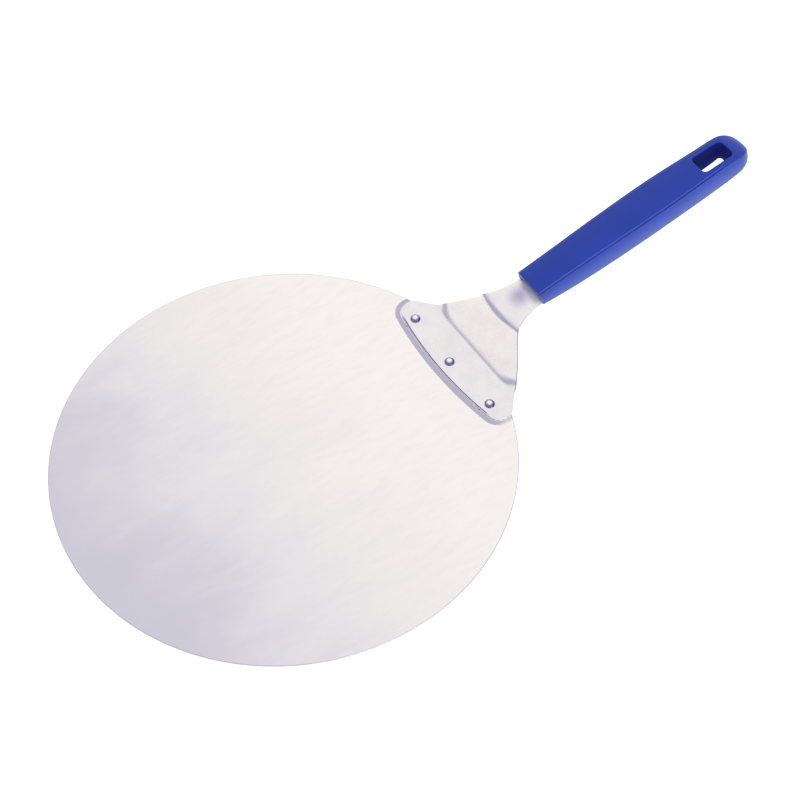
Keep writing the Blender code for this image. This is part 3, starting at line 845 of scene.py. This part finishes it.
# painted shade: a dark line on the flange just inside its front edge
DARK_LINE = 0.75 * MM
DARK_LINE_SOFTNESS = 0.1 * MM
DARK_LINE_FADE = 3 * MM
DARK_LINE_DEPTH = 0.9

# painted shade: bands on the bracket's bends and a spot on its neck
LOWER_BAND_AT = 148.9 * MM
LOWER_BAND_WIDTHS = (1.9 * MM, 3.2 * MM)
LOWER_BAND_WIDENS = (24 * MM, 40 * MM)
LOWER_BAND_DEPTHS = (0.42, 0.85)
LOWER_BAND_DEEPENS = (24 * MM, 38 * MM)
LOWER_CURL_FROM = 22 * MM
LOWER_CURL = 746.0
UPPER_BAND_AT = 166.4 * MM
UPPER_BAND_FRONT = 1.2 * MM
UPPER_BAND_BACK = 4.5 * MM
UPPER_BAND_FULL = -0.6 * MM
UPPER_CURL = 8.0
NECK_SPOT_AT = 184.5 * MM
NECK_SPOT_RADIUS = 11.5 * MM
NECK_SPOT_DEPTH = 0.85

# the cut edge: the painted shade on its rolled corner below the flange's top and on its sides past
# the flange, and the roughening there and by the handle's mouth
ROLLED_CORNER = (0.55 * MM, 0.35 * MM)
SIDE_EDGE_DEPTH = 0.75
EDGE_ROUGHENING = 0.40
MOUTH_ROUGHENING_AT = (9 * MM, 1 * MM)
MOUTH_ROUGHENING = 1.8

# a rivet head's painted highlight: its bright middle, set off-centre, and where the painted shade round the
# rim starts and is full, as shares of its width
RIVET_HIGHLIGHT_MIDDLE = (0.49, 0.53)
RIVET_BRIGHT_TO_SHADED = (0.14, 0.38)


SHADER_INPUTS = {"specular": "Specular IOR Level"}


class NodeTree:
    """Short ways to add and join a node tree's nodes."""

    def __init__(self, tree):
        self.nodes = tree.nodes
        self.links = tree.links

    def join(self, value, socket):
        """Link an output to an input, or set the input's own value."""
        if isinstance(value, bpy.types.NodeSocket):
            self.links.new(value, socket)
        else:
            socket.default_value = value

    def add(self, kind, inputs, output=0, **options):
        made = self.nodes.new(kind)
        for name, value in options.items():
            setattr(made, name, value)
        for name, value in inputs.items():
            self.join(value, made.inputs[name])
        return made.outputs[output]

    def apart(self, vector):
        """The x, y and z outputs of a vector."""
        made = self.nodes.new("ShaderNodeSeparateXYZ")
        self.links.new(vector, made.inputs[0])
        return made.outputs

    def coordinates(self, kind):
        return self.nodes.new("ShaderNodeTexCoord").outputs[kind]

    def ramp(self, value, low, high, to_low=0.0, to_high=1.0):
        return self.add("ShaderNodeMapRange", {
            "Value": value, "From Min": low, "From Max": high, "To Min": to_low, "To Max": to_high,
        }, interpolation_type="SMOOTHSTEP")

    def math(self, operation, first, second=0.0):
        made = self.nodes.new("ShaderNodeMath")
        made.operation = operation
        self.join(first, made.inputs[0])
        self.join(second, made.inputs[1])
        return made.outputs[0]

    def plus(self, first, second):
        return self.math("ADD", first, second)

    def minus(self, first, second):
        return self.math("SUBTRACT", first, second)

    def times(self, first, second):
        return self.math("MULTIPLY", first, second)

    def mix(self, share, first, second):
        made = self.nodes.new("ShaderNodeMix")
        made.data_type = "RGBA"
        self.join(share, made.inputs["Factor"])
        self.join(first, made.inputs["A"])
        self.join(second, made.inputs["B"])
        return made.outputs["Result"]


class Finish(NodeTree):
    """A material on a piece, worked out in the piece's own coordinates."""

    def __init__(self, name):
        self.material = bpy.data.materials.new(name)
        self.material.use_nodes = True
        super().__init__(self.material.node_tree)
        self.shader = self.nodes["Principled BSDF"]
        self.place = self.coordinates("Object")
        self.along, self.sideways, self.height = self.apart(self.place)
        self.across = self.math("ABSOLUTE", self.sideways)

    def stretched(self, scale, turn=0.0):
        """The object's own coordinates, scaled and turned about the vertical."""
        return self.add("ShaderNodeMapping", {
            "Vector": self.place, "Scale": scale, "Rotation": (0.0, 0.0, turn),
        })

    def noise(self, vector, scale, detail=3.0, roughness=0.55, distortion=0.0):
        return self.add("ShaderNodeTexNoise", {
            "Vector": vector, "Scale": scale, "Detail": detail, "Roughness": roughness,
            "Distortion": distortion,
        })

    def attribute(self, name):
        """A value kept on the mesh."""
        return self.add("ShaderNodeAttribute", {}, "Fac", attribute_name=name)

    def bump(self, height, strength, distance, normal=None):
        inputs = {"Height": height, "Strength": strength, "Distance": distance}
        if normal is not None:
            inputs["Normal"] = normal
        return self.add("ShaderNodeBump", inputs)

    def distance(self, along, across, middle):
        """Distance from a point on the blade's face to a middle (along, across)."""
        forward = self.minus(along, middle[0])
        aside = self.minus(across, middle[1])
        square = self.plus(self.math("POWER", forward, 2.0), self.math("POWER", aside, 2.0))
        return self.math("SQRT", square)

    def from_front_edge(self):
        """Distance out from the arc of the flange's front edge, less than 0 on the flange."""
        from_middle = self.distance(self.along, self.across, (FRONT_ARC_MIDDLE, 0.0))
        return self.minus(from_middle, FRONT_EDGE_RADIUS)

    def flange_shadow_band(self):
        """1 in the painted shadow band that follows the flange's front edge and its corners, else 0."""
        from_arc = self.from_front_edge()
        corner = (FLANGE_START.x + CORNER_STATION, CORNER_HALF_WIDTH)
        from_corner = self.distance(self.along, self.across, corner)
        from_corner = self.minus(from_corner, FLANGE_CORNER_RADIUS)
        slant = self.math("DIVIDE", self.across, self.minus(FRONT_ARC_MIDDLE, self.along))
        is_corner = self.math("GREATER_THAN", slant, tan(FRONT_ANGLE))
        out = self.plus(from_arc, self.times(is_corner, self.minus(from_corner, from_arc)))
        band = self.ramp(out, BAND_WIDTH + BAND_SOFTNESS, BAND_WIDTH - BAND_SOFTNESS)
        past_line = self.ramp(out, BRIGHT_LINE - BAND_SOFTNESS, BRIGHT_LINE + BAND_SOFTNESS)
        return self.times(band, past_line)

    def paint(self, share, colour, over):
        """A settings' colour laid over another by a share."""
        return self.mix(share, over, opaque(colour))

    def mottled(self, pattern, low, high, colour, factor):
        """A colour that turns into a lighter or darker one by a pattern."""
        return self.mix(self.ramp(pattern, low, high), opaque(colour), opaque(colour, factor))

    def set(self, **values):
        """Join values to the shader's inputs; a plain number stays on the input itself."""
        for name, value in values.items():
            label = SHADER_INPUTS.get(name, name.replace("_", " ").title())
            self.join(value, self.shader.inputs[label])


def opaque(colour, factor=1.0):
    return (*[channel * factor for channel in colour], 1.0)


def brushed_blade_steel(settings):
    """Sheet steel brushed along the handle's direction, with painted shade darker towards its front, a
    painted shadow by the flange and a painted shade line along the rim.
    """
    finish = Finish("blade_brushed_steel")
    broad = finish.noise(finish.stretched((9.0, 26.0, 9.0), radians(14)), 1.0, 4.0, 0.55, 0.8)
    narrow = finish.noise(finish.stretched((60.0, 240.0, 60.0), radians(-8)), 1.0, 5.0, 0.7)
    fine = finish.noise(finish.stretched((90.0, 2600.0, 90.0)), 1.0, 2.0, 0.6)
    cloud = finish.noise(finish.place, 16.0, 4.0, 0.6, 0.5)
    drift = finish.times(finish.minus(broad, 0.5), BROAD_DRIFT)
    drift = finish.plus(drift, finish.times(finish.minus(cloud, 0.5), CLOUD_DRIFT))
    wandering = finish.plus(finish.along, drift)
    # painted shade: the face darkens and cools from the bracket towards its front
    colour = opaque(settings.steel)
    colour = finish.paint(finish.ramp(wandering, *BRIGHT_TO_MIDDLE), settings.middle, colour)
    colour = finish.paint(finish.ramp(wandering, *MIDDLE_TO_FRONT), settings.front, colour)
    # brush streaks, a grain laid in the front's colour
    streak = finish.times(finish.ramp(narrow, 0.42, 0.72), STREAK_DEPTH)
    colour = finish.paint(streak, settings.front, colour)
    # painted shadow of the flange on the blade
    band_end = finish.ramp(finish.sideways, BAND_FADE_END, BAND_FADE_START)
    band = finish.times(finish.flange_shadow_band(), band_end)
    colour = finish.paint(finish.times(band, settings.shadow_depth), settings.band, colour)
    # painted shade: a dark line along the rim
    from_middle = finish.distance(finish.along, finish.across, (0.0, 0.0))
    rim = finish.ramp(from_middle, BLADE_RADIUS - RIM_LINE, BLADE_RADIUS - RIM_LINE_FULL)
    colour = finish.paint(finish.times(rim, settings.rim_shade_depth), settings.band, colour)
    rough = finish.ramp(narrow, 0.2, 0.8, settings.roughness - 0.05, settings.roughness + 0.06)
    brushed = finish.bump(fine, settings.brushing, 0.05 * MM)
    rippled = finish.bump(broad, 0.10, 0.25 * MM, brushed)
    finish.set(base_color=colour, roughness=rough, normal=rippled, metallic=1.0)
    return finish.material


def lower_bend_band(finish):
    """1 in the painted shade band on the lower bend, which widens and curls at its ends, else 0."""
    curl = finish.math("MAXIMUM", finish.minus(finish.across, LOWER_CURL_FROM))
    curl = finish.times(finish.math("POWER", curl, 3.0), LOWER_CURL)
    middle = finish.plus(curl, LOWER_BAND_AT)
    width = finish.ramp(finish.across, *LOWER_BAND_WIDENS, *LOWER_BAND_WIDTHS)
    aside = finish.math("ABSOLUTE", finish.minus(finish.along, middle))
    band = finish.ramp(finish.math("DIVIDE", aside, width), 1.0, 0.1)
    return finish.times(band, finish.ramp(finish.across, *LOWER_BAND_DEEPENS, *LOWER_BAND_DEPTHS))


def upper_bend_band(finish):
    """1 in the painted shade band on the upper bend, sharp towards the disc and soft behind, else 0."""
    middle = finish.times(finish.math("POWER", finish.across, 2.0), UPPER_CURL)
    past = finish.minus(finish.minus(finish.along, middle), UPPER_BAND_AT)
    before = finish.ramp(past, -UPPER_BAND_FRONT, 0.0)
    behind = finish.ramp(past, UPPER_BAND_BACK, UPPER_BAND_FULL)
    return finish.times(before, finish.math("POWER", behind, 1.5))


def edge_shade_mask(finish, cut):
    """1 where shade is painted on the flange's rolled corner, in a line inside its front edge and on the
    sheet's cut sides, else 0.
    """
    on_flange = finish.math("LESS_THAN", finish.along, FLANGE_END)
    rolled = finish.ramp(finish.height, *[FLANGE_TOP - below for below in ROLLED_CORNER])
    past = finish.minus(SIDE_EDGE_DEPTH, finish.times(on_flange, SIDE_EDGE_DEPTH))
    edge = finish.times(cut, finish.math("MAXIMUM", finish.times(rolled, on_flange), past))
    line = finish.ramp(
        finish.from_front_edge(), -DARK_LINE - DARK_LINE_SOFTNESS,
        -DARK_LINE + DARK_LINE_SOFTNESS, 0.0, DARK_LINE_DEPTH,
    )
    before_corner = finish.ramp(
        finish.across, CORNER_HALF_WIDTH + DARK_LINE_FADE, CORNER_HALF_WIDTH - DARK_LINE_FADE
    )
    return finish.math("MAXIMUM", edge, finish.times(line, before_corner))


def satin_bracket_steel(settings):
    """Pressed sheet steel, smoother than the blade, with painted shade on its bends, on a spot on its neck
    and along its edges.
    """
    finish = Finish("bracket_satin_steel")
    cloud = finish.noise(finish.place, 90.0, 4.0, 0.6)
    fine = finish.noise(finish.stretched((300.0, 1500.0, 300.0)), 1.0, 2.0)
    cut = finish.attribute("cut_edge")
    colour = finish.mottled(cloud, 0.35, 0.70, settings.steel, 0.95)
    # painted shade on the two bends
    colour = finish.paint(lower_bend_band(finish), settings.painted_shade, colour)
    colour = finish.paint(upper_bend_band(finish), settings.painted_shade, colour)
    # painted shade: a soft spot on the neck
    spot = finish.distance(finish.along, finish.across, (NECK_SPOT_AT, 0.0))
    spot = finish.ramp(spot, NECK_SPOT_RADIUS, 0.0, 0.0, NECK_SPOT_DEPTH)
    colour = finish.paint(spot, settings.painted_shade, colour)
    # painted shade along the sheet's edges
    colour = finish.paint(edge_shade_mask(finish, cut), settings.rolled, colour)
    rough = finish.ramp(cloud, 0.3, 0.7, settings.roughness - 0.03, settings.roughness + 0.04)
    rough = finish.plus(rough, finish.times(cut, EDGE_ROUGHENING))
    before_mouth = [MOUTH_POINT.x - gap for gap in MOUTH_ROUGHENING_AT]
    by_mouth = finish.ramp(finish.along, *before_mouth, 1.0, MOUTH_ROUGHENING)
    rough = finish.times(rough, by_mouth)
    grain = finish.bump(fine, 0.05, 0.05 * MM)
    finish.set(base_color=colour, roughness=rough, normal=grain, metallic=1.0)
    return finish.material


def cut_edge_highlight_steel(settings):
    """Near-white, mostly matt steel on the flange's cut edge, a painted highlight line, with a torn grain.
    """
    finish = Finish("bracket_cut_highlight")
    torn = finish.noise(finish.stretched((400.0, 400.0, 4000.0)), 1.0, 3.0)
    colour = finish.mottled(torn, 0.3, 0.7, settings.cut, 0.94)
    grain = finish.bump(torn, 0.05, 0.05 * MM)
    finish.set(base_color=colour, normal=grain, metallic=0.1, roughness=0.5)
    return finish.material


def polished_rivet_steel(settings):
    """Bright steel with faint scuffs, painted shade round the rim of each head and a bright middle set
    off-centre as a painted highlight.
    """
    finish = Finish("rivet_polished_steel")
    scuff = finish.noise(finish.place, 900.0, 3.0)
    colour = finish.mottled(scuff, 0.4, 0.7, settings.steel, 0.9)
    # painted shade round the rim, leaving an off-centre bright middle as a painted highlight
    right, back, _ = finish.apart(finish.coordinates("Generated"))
    from_middle = finish.distance(right, back, RIVET_HIGHLIGHT_MIDDLE)
    colour = finish.paint(finish.ramp(from_middle, *RIVET_BRIGHT_TO_SHADED), settings.rim, colour)
    rough = finish.ramp(scuff, 0.3, 0.7, settings.roughness - 0.03, settings.roughness + 0.06)
    scuffed = finish.bump(scuff, 0.04, 0.05 * MM)
    finish.set(base_color=colour, roughness=rough, normal=scuffed, metallic=1.0)
    return finish.material


def moulded_handle_plastic(settings):
    """Satin moulded plastic with a fine even grain, a painted highlight on its bead, painted shade in its
    grooves and hanging hole, and painted light that makes it paler down its sides.
    """
    finish = Finish("handle_moulded_plastic")
    cloud = finish.noise(finish.place, 55.0, 3.0)
    grain = finish.noise(finish.place, 2600.0, 2.0, 0.6)
    edge = finish.attribute("crease_highlight_and_shade")
    inside = finish.attribute("hole_depth")
    lower = finish.attribute("flank_light_share")
    colour = finish.mottled(cloud, 0.3, 0.7, settings.plastic, 1.12)
    # painted highlight on the bead and painted shade in the groove
    colour = finish.paint(finish.ramp(edge, 0.1, 1.0, 0.0, 0.8), settings.bead_highlight, colour)
    colour = finish.paint(finish.ramp(edge, -0.1, -1.0, 0.0, 0.9), settings.groove, colour)
    # painted light down the sides
    colour = finish.paint(finish.ramp(lower, 0.0, 1.0), settings.flank_light, colour)
    # painted shade down into the hanging hole
    colour = finish.paint(finish.ramp(inside, 0.2, 1.0, 0.0, 0.9), settings.recess_shade, colour)
    rough = finish.ramp(cloud, 0.3, 0.7, settings.roughness - 0.02, settings.roughness + 0.04)
    grained = finish.bump(grain, settings.grain, 0.08 * MM)
    finish.set(base_color=colour, roughness=rough, normal=grained, specular=0.35)
    return finish.material


def recess_shade_plastic(settings):
    """Matt plastic on the hanging hole's walls, dark with painted shade."""
    finish = Finish("handle_recess_shade")
    cloud = finish.noise(finish.place, 120.0, 3.0)
    # painted shade on the hole's walls
    colour = finish.mottled(cloud, 0.3, 0.7, settings.recess_shade, 1.2)
    finish.set(base_color=colour, normal=finish.bump(cloud, 0.05, 0.1 * MM))
    finish.set(roughness=0.8, specular=0.08)
    return finish.material


# each gap's turn from +Y towards +X and its height, the angles from there where it is full and
# where it ends, all in degrees, and its depth
GAPS = (
    (-50, 42, 5, 20, 0.30),
    (115, 18, 5, 30, 0.90),
)


def studio_world(settings):
    """Light from all round, warmer at the sides, with darker gaps between the soft panels."""
    world = bpy.data.worlds.new("studio")
    world.use_nodes = True
    sky = NodeTree(world.node_tree)
    direction = sky.coordinates("Generated")
    height = sky.apart(direction)["Z"]
    colour = sky.mix(height, opaque(settings.horizon), opaque(settings.zenith))
    for turn, height, full, end, depth in GAPS:
        turn, height = radians(turn), radians(height)
        towards = (sin(turn) * cos(height), cos(turn) * cos(height), sin(height))
        near = sky.nodes.new("ShaderNodeVectorMath")
        near.operation = "DOT_PRODUCT"
        sky.join(direction, near.inputs[0])
        sky.join(towards, near.inputs[1])
        near = near.outputs["Value"]
        share = sky.ramp(near, cos(radians(end)), cos(radians(full)), 0.0, depth)
        colour = sky.mix(share, colour, opaque(settings.gap))
    background = sky.nodes["Background"]
    sky.join(colour, background.inputs["Color"])
    sky.join(settings.sky_strength, background.inputs["Strength"])
    return world


def floor_card(settings):
    """Plain matt card with a soft light of its own."""
    finish = Finish("floor_card")
    card = opaque(settings.floor)
    finish.set(base_color=card, roughness=1.0, specular=0.0)
    finish.set(emission_color=card, emission_strength=settings.floor_glow)
    return finish.material


# ================================================================ operators

def rivet_centres():
    middle = LOWER_BEND.x - MIDDLE_RIVET_SETBACK
    outer = LOWER_BEND.x - OUTER_RIVET_SETBACK
    return (
        Vector((outer, OUTER_RIVET_SPACING, 0)),
        Vector((middle, 0, 0)),
        Vector((outer, -OUTER_RIVET_SPACING, 0)),
    )


# mesh steps round the pieces, and rings on the blade's face from its core to the land at its rim
RIVET_SIDES = 48
DOME_RINGS = 12
BLADE_SIDES = 360
BLADE_RINGS = 14
BLADE_RIM_STEPS = 4
BLADE_CORE = 4 * MM
BLADE_LAND = 0.4 * MM
POCKET_ROWS = 16
POCKET_COLUMNS = 24
BEVEL_STEPS = 3

# how far up a cut face may look on the flange and beyond it, and on the flange's cut edge that carries the
# painted highlight
FLANGE_CUT_UP = 0.95
SIDE_CUT_ACROSS = 0.72
HIGHLIGHT_EDGE_UP = 0.3
IN_THE_HOLE = 0.5


def bores(name, profile):
    """A cutter turned from a profile at each rivet's place."""
    return [object_from(name, turned(profile, centre, RIVET_SIDES)) for centre in rivet_centres()]


def on_the_flange(face):
    """Whether a face of the bracket lies before its lower bend."""
    return face.center.x < FLANGE_END


def is_cut(face):
    """Whether a face of the bracket is on the sheet's cut edge."""
    if on_the_flange(face):
        return abs(face.normal.z) < FLANGE_CUT_UP
    return abs(face.normal.y) > SIDE_CUT_ACROSS


class PeelBladeOperator(bpy.types.Operator):
    """Build the round blade with its eased rim and countersunk holes"""

    bl_idname = "peel.blade"
    bl_label = "Blade"

    def execute(self, context):
        settings = context.scene.peel_blade
        radius = settings.diameter / 2
        easing = settings.rim_easing
        face = spread(BLADE_CORE, radius - easing - BLADE_LAND, BLADE_RINGS)
        under = [(ring, 0.0) for ring in face]
        for angle in spread(0.0, pi / 2, BLADE_RIM_STEPS):
            under.append((radius - easing * (1 - sin(angle)), easing * (1 - cos(angle))))
        profile = under + [(ring, settings.thickness - height) for ring, height in reversed(under)]
        blade = object_from("round_blade", turned(profile, Vector(), BLADE_SIDES))
        hole = RIVET_SHANK_RADIUS + TOUCH_GAP
        countersink = RIVET_TAIL_RADIUS + TOUCH_GAP
        bore = (
            (countersink, -settings.thickness),
            (countersink, RIVET_TAIL_RECESS),
            (hole, RIVET_TAIL_RECESS + RIVET_TAIL_HEIGHT),
            (hole, 2 * settings.thickness),
        )
        carve(blade, bores("blade_bore", bore))
        finish_piece(blade, "blade_steel", brushed_blade_steel(settings), "blade")
        return {"FINISHED"}


class PeelBracketOperator(bpy.types.Operator):
    """Build the pressed bracket from its flange to its tang, with eased edges"""

    bl_idname = "peel.bracket"
    bl_label = "Bracket"

    def execute(self, context):
        settings = context.scene.peel_bracket
        bm = sheet_solid(bracket_rows(), SHEET_COLUMNS, 0.0, SHEET_THICKNESS)
        bmesh.ops.recalc_face_normals(bm, faces=bm.faces)
        shoulder = (MOUTH_POINT - TANG_DIRECTION * (TOUCH_GAP + 2 * SHOULDER_DEPTH)).x
        upper, lower = [], []
        for edge in bm.edges:
            middle = (edge.verts[0].co + edge.verts[1].co) / 2
            if middle.x < shoulder and edge.calc_face_angle(0.0) > radians(60):
                faces_up = sum((face.normal for face in edge.link_faces), Vector()).z > 0
                (upper if faces_up else lower).append(edge)
        for edges, easing in ((upper, settings.edge_easing), (lower, settings.under_easing)):
            bmesh.ops.bevel(
                bm, geom=edges, offset=easing, offset_type="OFFSET", segments=BEVEL_STEPS,
                profile=0.5, affect="EDGES", clamp_overlap=True,
            )
        bracket = object_from("pressed_bracket", bm, radians(45))
        hole = RIVET_SHANK_RADIUS + TOUCH_GAP
        carve(bracket, bores("flange_bore", ((hole, 0.0), (hole, 2 * FLANGE_TOP))))
        finish_piece(bracket, "bracket_steel", satin_bracket_steel(settings), "bracket")
        bracket.data.materials.append(cut_edge_highlight_steel(settings))
        # cut_edge marks the faces for the painted edge shade and extra roughness; near-upright flange faces
        # take the painted highlight material
        cut_edge = bracket.data.attributes.new("cut_edge", "FLOAT", "FACE")
        for face in bracket.data.polygons:
            cut_edge.data[face.index].value = float(is_cut(face))
            if on_the_flange(face) and abs(face.normal.z) < HIGHLIGHT_EDGE_UP:
                face.material_index = 1
        return {"FINISHED"}


class PeelRivetsOperator(bpy.types.Operator):
    """Build the three rivets with domed heads and spread tails"""

    bl_idname = "peel.rivets"
    bl_label = "Rivets"

    def execute(self, context):
        settings = context.scene.peel_rivets
        seat = FLANGE_TOP + TOUCH_GAP
        radius, height = settings.head_radius, settings.head_height
        sphere = (radius ** 2 + height ** 2) / (2 * height)
        profile = [
            (RIVET_TAIL_RADIUS, RIVET_TAIL_RECESS),
            (RIVET_SHANK_RADIUS, RIVET_TAIL_RECESS + RIVET_TAIL_HEIGHT),
            (RIVET_SHANK_RADIUS, seat),
        ]
        for angle in spread(0.0, pi / 2, DOME_RINGS)[:-1]:
            ring = radius * cos(angle)
            profile.append((ring, seat + sqrt(sphere ** 2 - ring ** 2) - (sphere - height)))
        material = polished_rivet_steel(settings)
        for node, centre in zip(RIVET_NODES, rivet_centres()):
            rivet = object_from("domed_" + node, turned(profile, centre, RIVET_SIDES))
            finish_piece(rivet, "rivet_steel", material, node)
        return {"FINISHED"}


class PeelHandleOperator(bpy.types.Operator):
    """Build the moulded handle with its creases, hanging hole and tang pocket"""

    bl_idname = "peel.handle"
    bl_label = "Handle"

    def execute(self, context):
        settings = context.scene.peel_handle
        handle = object_from("moulded_handle", handle_mesh(settings), radians(40))
        pocket_end = TANG_END_AT + TOUCH_GAP
        rows = []
        for station in spread(MOUTH_AT - 4 * SHEET_THICKNESS, pocket_end, POCKET_ROWS):
            rows.append((station, station, TANG_HALF_WIDTH + TOUCH_GAP))
        pocket = sheet_solid(rows, POCKET_COLUMNS, -TOUCH_GAP, SHEET_THICKNESS + TOUCH_GAP)
        carve(handle, [object_from("tang_pocket", pocket)])
        finish_piece(handle, "handle_plastic", moulded_handle_plastic(settings), "handle")
        handle.data.materials.append(recess_shade_plastic(settings))
        depths = handle.data.attributes["hole_depth"].data
        for face in handle.data.polygons:
            if min(depths[index].value for index in face.vertices) > IN_THE_HOLE:
                face.material_index = 1
        return {"FINISHED"}


FLOOR_REACH = 60.0
FLOOR_LEVEL = -0.2 * MM
PANEL_PLACE = Vector((0.1, -1.9, 0.55))
PANEL_AIM = Vector((0.2, 0.0, 0.05))
PANEL_SIZE = 1.2
PANEL_POWER = 16.0


class PeelStageOperator(bpy.types.Operator):
    """Set the floor, the soft lights and the camera"""

    bl_idname = "peel.stage"
    bl_label = "Stage"

    def execute(self, context):
        settings = context.scene.peel_stage
        scene = context.scene
        scene.view_settings.view_transform = "Standard"
        bm = bmesh.new()
        corners = ((-1, -1), (1, -1), (1, 1), (-1, 1))
        points = [(x * FLOOR_REACH, y * FLOOR_REACH, FLOOR_LEVEL) for x, y in corners]
        bm.faces.new(ring_of(bm, points))
        floor = object_from("floor", bm)
        floor.data.materials.append(floor_card(settings))

        scene.world = studio_world(settings)
        self.front_panel(scene)
        camera_data = bpy.data.cameras.new("camera")
        camera_data.lens = settings.lens
        camera = bpy.data.objects.new("camera", camera_data)
        scene.collection.objects.link(camera)
        turn, tilt = settings.camera_turn, settings.camera_tilt
        back = Vector((sin(turn) * cos(tilt), -cos(turn) * cos(tilt), sin(tilt)))
        camera.location = Vector(settings.camera_aim) + settings.camera_distance * back
        camera.rotation_mode = "QUATERNION"
        camera.rotation_quaternion = (-back).to_track_quat("-Z", "Y")
        camera_data.clip_start = 0.01
        scene.camera = camera
        return {"FINISHED"}

    @staticmethod
    def front_panel(scene):
        """A square soft panel before the peel's near side, facing the bracket."""
        data = bpy.data.lights.new("front_panel", "AREA")
        data.shape = "SQUARE"
        data.size = PANEL_SIZE
        data.energy = PANEL_POWER
        panel = bpy.data.objects.new("front_panel", data)
        scene.collection.objects.link(panel)
        panel.location = PANEL_PLACE
        panel.rotation_mode = "QUATERNION"
        panel.rotation_quaternion = (PANEL_AIM - PANEL_PLACE).to_track_quat("-Z", "Y")


STEPS = (
    ("peel_stage", PeelStageSettings, PeelStageOperator),
    ("peel_blade", PeelBladeSettings, PeelBladeOperator),
    ("peel_bracket", PeelBracketSettings, PeelBracketOperator),
    ("peel_rivets", PeelRivetSettings, PeelRivetsOperator),
    ("peel_handle", PeelHandleSettings, PeelHandleOperator),
)


class PeelPanel(bpy.types.Panel):
    """Lists the pieces of the peel and their settings"""

    bl_idname = "VIEW3D_PT_peel"
    bl_label = "Pizza Peel"
    bl_space_type = "VIEW_3D"
    bl_region_type = "UI"
    bl_category = "Peel"

    def draw(self, context):
        for name, settings, operator in STEPS:
            box = self.layout.box()
            box.operator(operator.bl_idname)
            for field in settings.__annotations__:
                box.prop(getattr(context.scene, name), field)


def register():
    for name, settings, operator in STEPS:
        bpy.utils.register_class(settings)
        bpy.utils.register_class(operator)
        setattr(bpy.types.Scene, name, PointerProperty(type=settings))
    bpy.utils.register_class(PeelPanel)


def unregister():
    bpy.utils.unregister_class(PeelPanel)
    for name, settings, operator in reversed(STEPS):
        delattr(bpy.types.Scene, name)
        bpy.utils.unregister_class(operator)
        bpy.utils.unregister_class(settings)


def main():
    register()
    for name, settings, operator in STEPS:
        getattr(bpy.ops.peel, operator.bl_idname.split(".")[1])()


if __name__ == "__main__":
    main()
